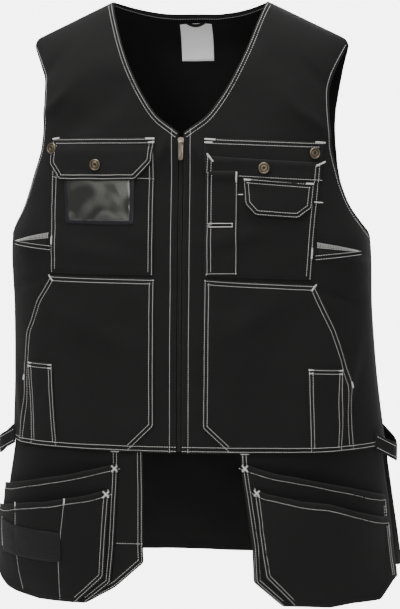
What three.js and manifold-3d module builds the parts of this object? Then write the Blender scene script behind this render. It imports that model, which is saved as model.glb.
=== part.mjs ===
// Utility work vest: sleeveless, zipped at the front, with chest pockets, slanted lower pockets and holster
// pockets that hang below the front hem. It keeps the form that it has when it is worn.
// Millimetres, +Z up. The front faces -Y, and +X is the viewer's right, which is the wearer's left.
// The origin lies midway between the middles of the two shoulder seams. Right and left are the wearer's.
// A drop is a height measured down from the neck point, where a shoulder seam meets the neckline.
import * as THREE from "three";
import { mergeVertices } from "three/addons/utils/BufferGeometryUtils.js";
import Module from "manifold-3d";

const wasm = await Module();
wasm.setup();

// Body of the vest
const CHEST_HALF_WIDTH = 250;
const FRONT_DEPTH = 115; // from the shoulder line forward to the chest
const BACK_DEPTH = 100; // from the shoulder line back to the shoulder blades
const FRONT_LENGTH = 608; // from the neck point down to the front hem
const TAIL_LENGTH = 183; // how far the back hangs below the front hem
const TAIL_CORNER = 45;
const HEM_SWING = 22; // the wearer's left side swings out this far at the hem
const SQUARENESS = 2.4; // 2 is an ellipse, and more is squarer
const FRONT_ROUNDING = 130; // height over which the front rolls over to the shoulder seam
const BACK_ROUNDING = 75;

// Neck and shoulders
const NECK_HALF_WIDTH = 107;
const SHOULDER_RUN = 109; // from the neck point out to the shoulder tip
const SHOULDER_FALL = 52; // the tip lies this far below the neck point
const NECK_FRONT_DROP = 180;
const NECK_BACK_REACH = 48; // the back neckline's distance behind the shoulder line
const NECK_TAPE_WIDTH = 7;

// Armholes
const ARMHOLE_TOP = 50;
const ARMHOLE_HEIGHT = 272;
const ARMHOLE_FRONT = 52;
const ARMHOLE_BACK = 55;

// Cloth and the clearance between layers
const CLOTH = 1.6;
const POCKET_CLOTH = 1.2;
const GAP = 0.4;
const SEAM_GAP = 0.3;

// Zip
const CHAIN_HALF_WIDTH = 3.9;
const CHAIN_PROUD = 0.5;
const TAPE_HALF_WIDTH = 14;
const TAPE = 0.8;
const SLIDER_LENGTH = 14.5;
const SLIDER_WIDTH = 8.8;
const SLIDER_PLATE = 2.3;
const SLIDER_NECK_WIDTH = 3;
const SLIDER_TOP_GAP = 4; // between the neckline's lowest point and the slider
const BAR_RADIUS = 0.9;
const EYE_RADIUS = 2.1;
const EYE_CLEARANCE = 0.25;
const EYE_WIDTH = 3;
const POST_WIDTH = 1.2;
const PULL_LENGTH = 24;
const PULL_WIDTH = 6.6;
const PULL_PLATE = 1.4;

// Pockets
const POCKET_INSET = 34; // from the centre line to the pockets' inner edges
const CHEST_POCKET_WIDTH = 146;
const CHEST_TOP_DROP = 185;
const CHEST_BOTTOM_DROP = 369;
const LOWER_POCKET_WIDTH = 197;
const LOWER_POCKET_GAP = 5; // below the chest pockets
const RULER_POCKET_WIDTH = 41;
const RULER_POCKET_HEIGHT = 115;
const RULER_POCKET_INSET = 174;
const FLAP_BAND = 8; // the flap's sewn top edge
const WINDOW_WIDTH = 98;
const WINDOW_HEIGHT = 66;
const WINDOW_INSET = 63;
const WINDOW_DROP = 235;
const WINDOW_BORDER = 6;
const FILM = 0.6;
const PHONE_FLAP_WIDTH = 92;
const PHONE_FLAP_HEIGHT = 54;
const PHONE_FLAP_INSET = 84.5;
const PHONE_FLAP_DROP = 238;
const PEN_POCKET_WIDTH = 42;
const PEN_POCKET_DROP = 229;
const PEN_SLIT_DROP = 300;
const PEN_SLIT_WIDTH = 26;
const PEN_SLIT_HEIGHT = 2;
const BUTTON_RADIUS = 8;
const BUTTON_HEIGHT = 3;
const BUTTON_CLEARANCE = 5; // above the phone flap
const BUTTON_LIFT = 0.8; // clear of the curved cloth under the button's flat base

// Holster pockets
const HOLSTER_LENGTH = 213; // below the front hem
const HOLSTER_TUCK = 10; // sewn up behind the front hem
const HOLSTER_SPLAY = 30; // the bottoms stand out this far at the sides
const HOLSTER_INSET = 85; // from the centre line to the pockets' inner edges
const HOLSTER_WIDTH = 190;
const INNER_GAPE = 14; // how far the inner pocket's mouth stands open
const OUTER_GAPE = 12;
const BAND = 1;

// Loops, label
const LOOP_HEIGHT = 24;
const LOOP_REACH = 17;
const LABEL_WIDTH = 45;
const LABEL_HEIGHT = 52;
const LABEL_DROP = 28;
const HANGER_WIDTH = 34;
const HANGER_BAND = 4;

// The body's sections, down from the neck point: shares of the front length, half width and depths
const SECTIONS = [
  { down: 0.0, width: 0.904, front: 0.54, back: 0.72 },
  { down: 0.084, width: 0.888, front: 0.643, back: 0.84 },
  { down: 0.174, width: 0.864, front: 0.73, back: 0.95 },
  { down: 0.257, width: 0.86, front: 0.81, back: 1.01 },
  { down: 0.331, width: 0.876, front: 0.88, back: 1.04 },
  { down: 0.388, width: 0.904, front: 0.92, back: 1.04 },
  { down: 0.462, width: 0.944, front: 0.965, back: 1.03 },
  { down: 0.536, width: 1.0, front: 1.0, back: 1.0 },
  { down: 0.7, width: 0.992, front: 1.035, back: 0.95 },
  { down: 0.849, width: 0.992, front: 1.07, back: 0.96 },
  { down: 1.0, width: 1.004, front: 1.104, back: 1.01 },
  { down: 1.309, width: 1.032, front: 1.148, back: 1.1 },
];
const SWING_START = 0.54;
const SWING_POWER = 1.3;

// Broad folds: place as shares of the half width and front length, size as shares of the front length
const FOLDS = [
  { across: -0.7, down: 0.2, tilt: 35, length: 0.14, width: 0.04, height: 0.006 },
  { across: -0.55, down: 0.27, tilt: 40, length: 0.12, width: 0.035, height: -0.005 },
  { across: 0.62, down: 0.24, tilt: -30, length: 0.12, width: 0.04, height: 0.005 },
  { across: 0.82, down: 0.72, tilt: 80, length: 0.26, width: 0.045, height: 0.007 },
  { across: -0.84, down: 0.8, tilt: 95, length: 0.22, width: 0.04, height: 0.006 },
  { across: 0.45, down: 0.86, tilt: 85, length: 0.2, width: 0.06, height: -0.006 },
  { across: -0.4, down: 0.9, tilt: 95, length: 0.18, width: 0.06, height: -0.005 },
];

// Front neckline: shares of the neck's half width and front drop
const NECKLINE = [
  { across: 1.0, down: -0.3 },
  { across: 1.0, down: 0.0 },
  { across: 0.92, down: 0.14 },
  { across: 0.79, down: 0.36 },
  { across: 0.65, down: 0.55 },
  { across: 0.48, down: 0.73 },
  { across: 0.32, down: 0.86 },
  { across: 0.15, down: 0.94 },
  { across: 0.036, down: 0.99 },
  { across: 0.0, down: 1.0 },
];

// Armhole seen from the side: shares of its height and of its reach forward and back
const ARMHOLE = [
  { down: 0.0, front: 0.0, back: 0.0 },
  { down: 0.11, front: 0.4, back: 0.4 },
  { down: 0.21, front: 0.7, back: 0.66 },
  { down: 0.32, front: 0.87, back: 0.81 },
  { down: 0.45, front: 0.96, back: 0.92 },
  { down: 0.6, front: 1.0, back: 0.99 },
  { down: 0.76, front: 0.96, back: 0.97 },
  { down: 0.88, front: 0.8, back: 0.8 },
  { down: 0.96, front: 0.5, back: 0.5 },
  { down: 1.0, front: 0.0, back: 0.0 },
];

// Pocket outlines: shares of the piece's width from its inner edge, and of its height from its top
const OUTLINES = {
  flap: [
    { across: 0.01, down: 0.0 },
    { across: 1.0, down: 0.04 },
    { across: 1.025, down: 0.62 },
    { across: 0.92, down: 1.0 },
    { across: 0.19, down: 0.97 },
    { across: 0.03, down: 0.55 },
  ],
  chest_right: [
    { across: 0.01, down: 0.0 },
    { across: 1.0, down: 0.0 },
    { across: 1.0, down: 0.995 },
    { across: 0.015, down: 1.0 },
  ],
  chest_left: [
    { across: 0.0, down: 0.13 },
    { across: 1.03, down: 0.185 },
    { across: 0.97, down: 1.03 },
    { across: 0.0, down: 1.0 },
  ],
  tucked_flap: [
    { across: -0.02, down: 0.0 },
    { across: 1.05, down: 0.035 },
    { across: 1.03, down: 0.32 },
    { across: 0.0, down: 0.28 },
  ],
  phone_flap: [
    { across: 0.0, down: 0.0 },
    { across: 1.0, down: 0.16 },
    { across: 0.97, down: 0.75 },
    { across: 0.78, down: 1.0 },
    { across: 0.18, down: 0.91 },
    { across: 0.03, down: 0.64 },
  ],
  lower_right: [
    { across: 0.0, down: 0.0 },
    { across: 0.745, down: -0.005 },
    { across: 0.85, down: 0.14 },
    { across: 0.932, down: 0.33 },
    { across: 0.962, down: 0.61 },
    { across: 0.995, down: 1.0 },
    { across: 0.175, down: 1.0 },
    { across: 0.0, down: 0.855 },
  ],
  lower_left: [
    { across: -0.005, down: 0.0 },
    { across: 0.742, down: 0.035 },
    { across: 0.88, down: 0.3 },
    { across: 0.945, down: 0.47 },
    { across: 0.988, down: 0.62 },
    { across: 1.015, down: 1.0 },
    { across: 0.167, down: 1.0 },
    { across: -0.01, down: 0.86 },
  ],
  ruler_right: [
    { across: 0.08, down: 0.005 },
    { across: 0.96, down: 0.0 },
    { across: 0.85, down: 1.0 },
    { across: -0.1, down: 1.0 },
  ],
  ruler_left: [
    { across: -0.06, down: 0.01 },
    { across: 1.04, down: 0.035 },
    { across: 1.04, down: 1.0 },
    { across: 0.02, down: 1.0 },
  ],
  side_slit: [
    { across: 0.0, down: 0.0 },
    { across: 1.0, down: 0.62 },
    { across: 0.98, down: 0.72 },
    { across: 0.0, down: 1.0 },
  ],
};
const SLIT = { inset: 185, width: 52, drop: 314, height: 23, left_drop: 10 };

// Holster outlines: shares of the holster's width from its inner edge, and of its length from the hem
const HOLSTERS = {
  right: {
    back: [
      { across: -0.18, down: -0.1 },
      { across: -0.18, down: 0.62 },
      { across: -0.185, down: 0.72 },
      { across: 0.02, down: 0.885 },
    ],
    inner_mouth: [
      { across: 0.0, down: 0.085 },
      { across: 0.12, down: 0.112 },
      { across: 0.35, down: 0.165 },
      { across: 0.59, down: 0.217 },
      { across: 0.9, down: 0.297 },
      { across: 1.4, down: 0.34 },
    ],
    outer_mouth: [
      { across: 0.055, down: 0.25 },
      { across: 0.2, down: 0.287 },
      { across: 0.36, down: 0.31 },
      { across: 0.51, down: 0.34 },
      { across: 0.71, down: 0.39 },
      { across: 0.9, down: 0.437 },
      { across: 1.4, down: 0.47 },
    ],
    inner_corner: [
      { across: 0.055, down: 0.86 },
      { across: 0.03, down: 0.62 },
    ],
    outer_corner: [
      { across: 0.31, down: 1.0 },
      { across: 0.1, down: 0.82 },
    ],
    bottom: [
      { across: 1.4, down: 0.86 },
      { across: 0.95, down: 0.862 },
      { across: 0.925, down: 0.905 },
      { across: 0.86, down: 0.953 },
      { across: 0.79, down: 0.972 },
      { across: 0.6, down: 1.0 },
      { across: 0.24, down: 1.0 },
    ],
  },
  left: {
    back: [
      { across: -0.01, down: -0.1 },
      { across: 0.01, down: 0.15 },
      { across: 0.08, down: 0.6 },
      { across: 0.09, down: 0.83 },
    ],
    inner_mouth: [
      { across: 0.0, down: 0.065 },
      { across: 0.12, down: 0.1 },
      { across: 0.24, down: 0.127 },
      { across: 0.385, down: 0.147 },
      { across: 0.585, down: 0.193 },
      { across: 0.77, down: 0.24 },
      { across: 0.98, down: 0.31 },
      { across: 1.4, down: 0.4 },
    ],
    outer_mouth: [
      { across: 0.085, down: 0.215 },
      { across: 0.15, down: 0.245 },
      { across: 0.24, down: 0.262 },
      { across: 0.41, down: 0.295 },
      { across: 0.585, down: 0.325 },
      { across: 0.77, down: 0.38 },
      { across: 1.0, down: 0.46 },
      { across: 1.4, down: 0.55 },
    ],
    inner_corner: [
      { across: 0.105, down: 0.83 },
      { across: 0.09, down: 0.6 },
    ],
    outer_corner: [
      { across: 0.375, down: 0.985 },
      { across: 0.17, down: 0.79 },
    ],
    bottom: [
      { across: 1.4, down: 0.86 },
      { across: 1.08, down: 0.87 },
      { across: 0.985, down: 0.977 },
      { across: 0.79, down: 0.98 },
      { across: 0.63, down: 1.0 },
      { across: 0.295, down: 0.985 },
    ],
  },
};
const HOLSTER_COLUMNS = { first: 1, last: 11, left_backing: 12 }; // columns of the body's quarter turn
const TOOL_BAND = { across: 0.385, width: 0.46, down: 0.515, height: 0.2 };

const COLUMNS = 13; // across a quarter turn
const ROUNDING_ROWS = 5;
const FRONT_ROWS = 10;
const TAIL_ROWS = 4;
const HOLSTER_ROWS = 7;
const FAR = 1000; // past every edge

const ORIGIN_DROP = SHOULDER_FALL / 2;
const LAYER = POCKET_CLOTH + GAP;

// Interpolation
function tableValue(rows, key, at) {
  const last = rows.length - 1;
  const slope = (i, j) => (rows[j][key] - rows[i][key]) / (rows[j].down - rows[i].down);
  if (at <= rows[0].down) return rows[0][key] + slope(0, 1) * (at - rows[0].down);
  if (at >= rows[last].down) return rows[last][key] + slope(last - 1, last) * (at - rows[last].down);
  let i = 0;
  while (rows[i + 1].down <= at) i += 1;
  const span = rows[i + 1].down - rows[i].down;
  const t = (at - rows[i].down) / span;
  const start = slope(Math.max(i - 1, 0), i + 1) * span;
  const end = slope(i, Math.min(i + 2, last)) * span;
  const [a, b] = [rows[i][key], rows[i + 1][key]];
  const cubic = 2 * (a - b) + start + end;
  const square = 3 * (b - a) - 2 * start - end;
  return ((cubic * t + square) * t + start) * t + a;
}

const clamp = (value) => Math.min(1, Math.max(0, value));

// Half width and depths of the body at a drop, on one side
function section(side, drop) {
  const down = drop / FRONT_LENGTH;
  const swing = side > 0 ? HEM_SWING * Math.max(0, (down - SWING_START) / (1 - SWING_START)) ** SWING_POWER : 0;
  return {
    half: CHEST_HALF_WIDTH * tableValue(SECTIONS, "width", down) + swing,
    front: FRONT_DEPTH * tableValue(SECTIONS, "front", down),
    back: BACK_DEPTH * tableValue(SECTIONS, "back", down),
  };
}

const ridgeDrop = (x) => (SHOULDER_FALL * Math.max(0, Math.abs(x) - NECK_HALF_WIDTH)) / SHOULDER_RUN;

// A point at a share of the quarter turn from the centre line (0) to the side seam (1)
function turned(side, turn, half, depth) {
  const angle = (turn * Math.PI) / 2;
  const power = 2 / SQUARENESS;
  const x = turn >= 1 ? half : half * Math.sin(angle) ** power;
  const y = turn >= 1 ? 0 : depth * Math.cos(angle) ** power;
  return { x: side * x, y };
}

// Level 0 is the shoulder seam, 1 is where the rounding ends, and 2 is the lower edge
function bodyPoint(face, side, turn, level, length) {
  const rounding = face < 0 ? FRONT_ROUNDING : BACK_ROUNDING;
  const roll = (Math.min(1, level) * Math.PI) / 2;
  let drop = 0;
  let point = { x: 0, y: 0 };
  for (let pass = 0; pass < 4; pass += 1) {
    const ridge = ridgeDrop(point.x);
    const rolled = ridge + rounding * (1 - Math.cos(roll));
    drop = level <= 1 ? rolled : ridge + rounding + (level - 1) * (length - ridge - rounding);
    const size = section(side, drop);
    point = turned(side, turn, size.half, face < 0 ? size.front : size.back);
  }
  const y = face * (point.y * Math.sin(roll) + SEAM_GAP / 2);
  return new THREE.Vector3(point.x, y, ORIGIN_DROP - drop);
}

// Height of the broad folds on the front
function foldHeight(point) {
  const drop = ORIGIN_DROP - point.z;
  const edge = clamp((Math.abs(point.y) - FRONT_DEPTH / 5) / (FRONT_DEPTH / 3));
  let height = 0;
  for (const fold of FOLDS) {
    const angle = THREE.MathUtils.degToRad(fold.tilt);
    const dx = point.x - fold.across * CHEST_HALF_WIDTH;
    const dz = fold.down * FRONT_LENGTH - drop;
    const along = (dx * Math.cos(angle) + dz * Math.sin(angle)) / (fold.length * FRONT_LENGTH);
    const off = (dz * Math.cos(angle) - dx * Math.sin(angle)) / (fold.width * FRONT_LENGTH);
    height += fold.height * FRONT_LENGTH * Math.exp(-along * along - off * off);
  }
  return height * edge;
}

// A sheet is a grid of points with the normals that its cloth is offset along
function sheet(rows) {
  const across = rows[0].length;
  const points = rows.flat();
  const faces = [];
  for (let r = 0; r + 1 < rows.length; r += 1) {
    for (let c = 0; c + 1 < across; c += 1) {
      const at = r * across + c;
      faces.push(at, at + across, at + across + 1, at, at + across + 1, at + 1);
    }
  }
  const geometry = new THREE.BufferGeometry().setFromPoints(points);
  geometry.setIndex(faces);
  geometry.computeVertexNormals();
  const normals = points.map((_, i) => new THREE.Vector3().fromBufferAttribute(geometry.attributes.normal, i));
  return { across, down: rows.length, points, normals, faces };
}

// The body's front or back, from one side seam round to the other
function bodySheet(face, length, lowerRows) {
  const turns = [];
  for (let c = -COLUMNS; c <= COLUMNS; c += 1) turns.push((-face * c) / COLUMNS);
  const levels = [];
  for (let r = 0; r <= ROUNDING_ROWS; r += 1) levels.push(r / ROUNDING_ROWS);
  for (let r = 1; r <= lowerRows; r += 1) levels.push(1 + r / lowerRows);
  const rows = levels.map((level) =>
    turns.map((turn) => bodyPoint(face, Math.sign(turn) || 1, Math.abs(turn), level, length)),
  );
  const plain = sheet(rows);
  if (face < 0) plain.points.forEach((p, i) => p.addScaledVector(plain.normals[i], foldHeight(p)));
  const cloth = sheet(rows);
  cloth.normals.forEach((normal, i) => {
    const column = i % cloth.across;
    const edge = i < cloth.across || column === 0 || column === cloth.across - 1;
    if (edge) normal.setY(0).normalize();
  });
  return cloth;
}

// Solids
function toSolid(geometry) {
  const bare = geometry.clone();
  bare.deleteAttribute("normal");
  bare.deleteAttribute("uv");
  const merged = mergeVertices(bare, 1e-4);
  return new wasm.Manifold(
    new wasm.Mesh({
      numProp: 3,
      vertProperties: new Float32Array(merged.attributes.position.array),
      triVerts: new Uint32Array(merged.index.array),
    }),
  );
}

// Cloth between two offsets of a sheet; an offset is a number, or a function of the sheet's point
function layer(cloth, inner, outer) {
  const count = cloth.points.length;
  const positions = [];
  for (const offset of [outer, inner]) {
    cloth.points.forEach((point, i) => {
      const distance = typeof offset === "number" ? offset : offset(point);
      const moved = point.clone().addScaledVector(cloth.normals[i], distance);
      positions.push(moved.x, moved.y, moved.z);
    });
  }
  const index = [...cloth.faces];
  for (let i = 0; i < cloth.faces.length; i += 3) {
    const [a, b, c] = cloth.faces.slice(i, i + 3);
    index.push(a + count, c + count, b + count);
  }
  const rim = [];
  for (let c = 0; c < cloth.across - 1; c += 1) rim.push(c);
  for (let r = 0; r < cloth.down - 1; r += 1) rim.push((r + 1) * cloth.across - 1);
  for (let c = cloth.across - 1; c > 0; c -= 1) rim.push((cloth.down - 1) * cloth.across + c);
  for (let r = cloth.down - 1; r > 0; r -= 1) rim.push(r * cloth.across);
  rim.forEach((a, i) => {
    const b = rim[(i + 1) % rim.length];
    index.push(a, b, b + count, a, b + count, a + count);
  });
  const geometry = new THREE.BufferGeometry();
  geometry.setAttribute("position", new THREE.Float32BufferAttribute(positions, 3));
  geometry.setIndex(index);
  return toSolid(geometry);
}

// A prism along Y through an outline of [x, drop] corners, in front of the shoulder line or behind it
function prism(face, outline) {
  const shape = new THREE.Shape(outline.map(([x, drop]) => new THREE.Vector2(x, ORIGIN_DROP - drop)));
  const geometry = new THREE.ExtrudeGeometry(shape, { depth: FAR, bevelEnabled: false });
  geometry.rotateX(Math.PI / 2);
  if (face > 0) geometry.translate(0, FAR, 0);
  return toSolid(geometry);
}

// A prism along X through an outline of [y, drop] corners, on one side of the centre plane
function sidePrism(side, outline) {
  const shape = new THREE.Shape(outline.map(([y, drop]) => new THREE.Vector2(side * y, ORIGIN_DROP - drop)));
  const geometry = new THREE.ExtrudeGeometry(shape, { depth: FAR, bevelEnabled: false });
  geometry.rotateX(Math.PI / 2);
  geometry.rotateZ((side * Math.PI) / 2);
  geometry.translate(side * NECK_HALF_WIDTH, 0, 0);
  return toSolid(geometry);
}

const smooth = (points, steps) =>
  new THREE.SplineCurve(points.map(([a, b]) => new THREE.Vector2(a, b))).getPoints(steps).map((p) => [p.x, p.y]);

// Meshes
const vest = new THREE.Group();
vest.name = "utility_work_vest";

const LOOKS = {
  canvas: { color: 0x1c1c1b, roughness: 0.85, metalness: 0 },
  lining: { color: 0x191918, roughness: 0.9, metalness: 0 },
  tape: { color: 0x151515, roughness: 0.8, metalness: 0 },
  label: { color: 0xe8e8e6, roughness: 0.7, metalness: 0 },
  brass: { color: 0x6a5f48, roughness: 0.45, metalness: 0.9 },
  bronze: { color: 0x8d8272, roughness: 0.35, metalness: 0.9 },
  vinyl: { color: 0x1c1c22, roughness: 0.4, metalness: 0 },
  film: { color: 0x4b4e48, roughness: 0.15, metalness: 0, transparent: true, opacity: 0.6 },
  elastic: { color: 0x1e1e1e, roughness: 0.75, metalness: 0 },
};

function addMesh(name, look, geometry) {
  const faceted = geometry.index ? geometry.toNonIndexed() : geometry;
  faceted.computeVertexNormals();
  const mesh = new THREE.Mesh(faceted, new THREE.MeshStandardMaterial(LOOKS[look]));
  mesh.name = name;
  vest.add(mesh);
  return mesh;
}

function addSolid(name, look, solid) {
  const made = solid.getMesh();
  const geometry = new THREE.BufferGeometry();
  geometry.setAttribute("position", new THREE.BufferAttribute(made.vertProperties, 3));
  geometry.setIndex(new THREE.BufferAttribute(made.triVerts, 1));
  return addMesh(name, look, geometry);
}

const FRONT = -1;
const BACK = 1;
const front = bodySheet(FRONT, FRONT_LENGTH, FRONT_ROWS);
const back = bodySheet(BACK, FRONT_LENGTH + TAIL_LENGTH, FRONT_ROWS + TAIL_ROWS);

// Openings of the body
function armhole(side) {
  const at = (row, reach) => [reach, ARMHOLE_TOP + row.down * ARMHOLE_HEIGHT];
  const ahead = ARMHOLE.map((row) => at(row, -row.front * ARMHOLE_FRONT));
  const behind = ARMHOLE.slice(1, -1).map((row) => at(row, row.back * ARMHOLE_BACK));
  const round = [...ahead, ...behind.reverse(), ahead[0]];
  return sidePrism(side, smooth(round, 3 * round.length).slice(0, -1));
}
const armholes = [armhole(-1), armhole(1)];

function frontNeck() {
  const half = NECKLINE.map((row) => [row.across * NECK_HALF_WIDTH, row.down * NECK_FRONT_DROP]);
  const mirrored = half.slice(0, -1).map(([x, drop]) => [-x, drop]);
  return prism(FRONT, [...half, ...mirrored.reverse()]);
}

// The back neckline is a half ellipse seen from above
function backNeck(reach) {
  const shape = new THREE.Shape();
  shape.absellipse(0, 0, NECK_HALF_WIDTH + reach - NECK_BACK_REACH, reach, 0, Math.PI);
  const geometry = new THREE.ExtrudeGeometry(shape, { depth: 2 * FAR, bevelEnabled: false, curveSegments: 20 });
  geometry.translate(0, 0, -FAR);
  return toSolid(geometry);
}

// What is cut from a lower corner of the tail, seen from the side
function tailCorner(side) {
  const low = FRONT_LENGTH + TAIL_LENGTH;
  const points = [[-TAIL_CORNER, low + TAIL_CORNER], [-TAIL_CORNER, low - TAIL_CORNER]];
  for (let step = 0; step <= 4; step += 1) {
    const angle = (step * Math.PI) / 8;
    points.push([TAIL_CORNER * (1 - Math.cos(angle)), low - TAIL_CORNER * (1 - Math.sin(angle))]);
  }
  return sidePrism(side, [...points, [TAIL_CORNER, low + TAIL_CORNER]]);
}

const backCloth = layer(back, -CLOTH, 0)
  .subtract(armholes[0])
  .subtract(armholes[1])
  .subtract(backNeck(NECK_BACK_REACH))
  .subtract(tailCorner(-1))
  .subtract(tailCorner(1));
addSolid("back_panel", "canvas", backCloth);

const frontCloth = layer(front, -CLOTH, 0).subtract(armholes[0]).subtract(armholes[1]).subtract(frontNeck());
const zipEdge = CHAIN_HALF_WIDTH + SEAM_GAP;
for (const [name, side] of [["right", -1], ["left", 1]]) {
  const half = [[side * zipEdge, -FAR], [side * FAR, -FAR], [side * FAR, FAR], [side * zipEdge, FAR]];
  addSolid("front_panel_" + name, "canvas", frontCloth.intersect(prism(FRONT, half)));
}

// Inside the back neck
const tapeOuter = -CLOTH - GAP;
const tapeInner = tapeOuter - TAPE;
const tapeHalf = [[-0.9 * NECK_HALF_WIDTH, -FAR], [0.9 * NECK_HALF_WIDTH, -FAR], [0.9 * NECK_HALF_WIDTH, FAR]];
const neckTape = layer(back, tapeInner, tapeOuter)
  .intersect(backNeck(NECK_BACK_REACH + NECK_TAPE_WIDTH))
  .subtract(backNeck(NECK_BACK_REACH + 1))
  .intersect(prism(BACK, [...tapeHalf, [-0.9 * NECK_HALF_WIDTH, FAR]]));
addSolid("neck_tape", "tape", neckTape);

const labelHalf = LABEL_WIDTH / 2;
const labelLow = LABEL_DROP + LABEL_HEIGHT;
const labelOutline = [[-labelHalf, LABEL_DROP], [labelHalf, LABEL_DROP], [labelHalf, labelLow], [-labelHalf, labelLow]];
addSolid("size_label", "label", layer(back, tapeInner, tapeOuter).intersect(prism(BACK, labelOutline)));

// The hanger loop droops from the neck tape over the label's top edge
function hangerOutline() {
  const top = LABEL_DROP - HANGER_BAND;
  const sag = (half, lift) => {
    const points = [];
    for (let step = 0; step <= 8; step += 1) {
      const x = half * (step / 4 - 1);
      points.push([x, top + lift * (1 - (x / half) ** 2)]);
    }
    return points;
  };
  const low = sag(HANGER_WIDTH / 2, 2 * HANGER_BAND);
  const high = sag(HANGER_WIDTH / 2 - HANGER_BAND, HANGER_BAND);
  return [...low, ...high.reverse()];
}
const hanger = layer(back, tapeInner - GAP - TAPE, tapeInner - GAP).intersect(prism(BACK, hangerOutline()));
addSolid("hanger_loop", "tape", hanger);

// Zip
const sliderTop = NECK_FRONT_DROP + SLIDER_TOP_GAP;
const chainTop = sliderTop + SLIDER_LENGTH / 3;
const strip = (half, top, low) => [[-half, top], [half, top], [half, low], [-half, low]];
const chain = layer(front, tapeInner, CHAIN_PROUD).intersect(prism(FRONT, strip(CHAIN_HALF_WIDTH, chainTop, FRONT_LENGTH - 1)));
const zipTape = layer(front, tapeInner, tapeOuter).intersect(prism(FRONT, strip(TAPE_HALF_WIDTH, chainTop, FRONT_LENGTH - 1)));
addSolid("zip_chain", "tape", chain.add(zipTape));

// A place on the faceted cloth of a sheet, at an offset: the point and the cloth's own direction
function onCloth(cloth, x, drop, offset) {
  const geometry = new THREE.BufferGeometry().setFromPoints(
    cloth.points.map((point, i) => point.clone().addScaledVector(cloth.normals[i], offset)),
  );
  geometry.setIndex(cloth.faces);
  const target = new THREE.Mesh(geometry, new THREE.MeshBasicMaterial({ side: THREE.DoubleSide }));
  const start = new THREE.Vector3(x, -FAR, ORIGIN_DROP - drop);
  const hit = new THREE.Raycaster(start, new THREE.Vector3(0, 1, 0)).intersectObject(target)[0];
  return { point: hit.point, normal: hit.face.normal };
}

// A box between two corners
function block(low, high) {
  const geometry = new THREE.BoxGeometry(high[0] - low[0], high[1] - low[1], high[2] - low[2]);
  geometry.translate((low[0] + high[0]) / 2, (low[1] + high[1]) / 2, (low[2] + high[2]) / 2);
  return toSolid(geometry);
}

// A round bar along X, through a height and a depth
function bar(radius, length, y, z) {
  const geometry = new THREE.CylinderGeometry(radius, radius, length, 12);
  geometry.rotateZ(Math.PI / 2);
  geometry.translate(0, y, z);
  return toSolid(geometry);
}

// Slider in its own frame: X across, Z up along the chain, -Y out of the cloth, origin on the cloth's face
const plateInner = -(CHAIN_PROUD + SEAM_GAP);
const plateOuter = plateInner - SLIDER_PLATE;
const barY = plateOuter - EYE_RADIUS - SEAM_GAP;
const postInner = EYE_WIDTH / 2 + SEAM_GAP;
const halfSlider = SLIDER_LENGTH / 2;

function sliderSolid() {
  const shape = new THREE.Shape();
  const wide = SLIDER_WIDTH / 2;
  const narrow = SLIDER_WIDTH / 2.6;
  shape.moveTo(-narrow, -halfSlider);
  shape.lineTo(narrow, -halfSlider);
  shape.lineTo(narrow, 0);
  shape.lineTo(wide, halfSlider / 2);
  shape.quadraticCurveTo(wide, halfSlider, 0, halfSlider);
  shape.quadraticCurveTo(-wide, halfSlider, -wide, halfSlider / 2);
  shape.lineTo(-narrow, 0);
  const options = { depth: SLIDER_PLATE, bevelEnabled: false, curveSegments: 5 };
  const plate = new THREE.ExtrudeGeometry(shape, options);
  plate.rotateX(Math.PI / 2);
  plate.translate(0, plateInner, 0);
  const hidden = new THREE.ExtrudeGeometry(shape, { ...options, depth: TAPE });
  hidden.rotateX(Math.PI / 2);
  const hiddenOuter = -tapeInner + SEAM_GAP;
  hidden.translate(0, hiddenOuter + TAPE, 0);
  const neckHalf = SLIDER_NECK_WIDTH / 2;
  const neckLow = halfSlider - SLIDER_LENGTH / 3 + 3 * SEAM_GAP;
  const neck = block([-neckHalf, plateInner - 0.5, neckLow], [neckHalf, hiddenOuter + TAPE / 2, halfSlider - 1]);
  let solid = toSolid(plate).add(toSolid(hidden)).add(neck);
  for (const side of [-1, 1]) {
    const edges = [side * postInner, side * (postInner + POST_WIDTH)].sort((a, b) => a - b);
    const post = block([edges[0], barY - BAR_RADIUS, -EYE_RADIUS], [edges[1], plateOuter + 0.5, EYE_RADIUS]);
    solid = solid.add(post);
  }
  return solid.add(bar(BAR_RADIUS, 2 * postInner + POST_WIDTH, barY, 0));
}

const sliderSeat = onCloth(front, 0, sliderTop + halfSlider, 0);
const sliderLean = -Math.atan2(sliderSeat.normal.z, -sliderSeat.normal.y);
const sliderFrame = new THREE.Group();
sliderFrame.position.copy(sliderSeat.point);
sliderFrame.rotation.x = sliderLean;
vest.add(sliderFrame);
sliderFrame.add(addSolid("zip_slider", "bronze", sliderSolid()));

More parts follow.
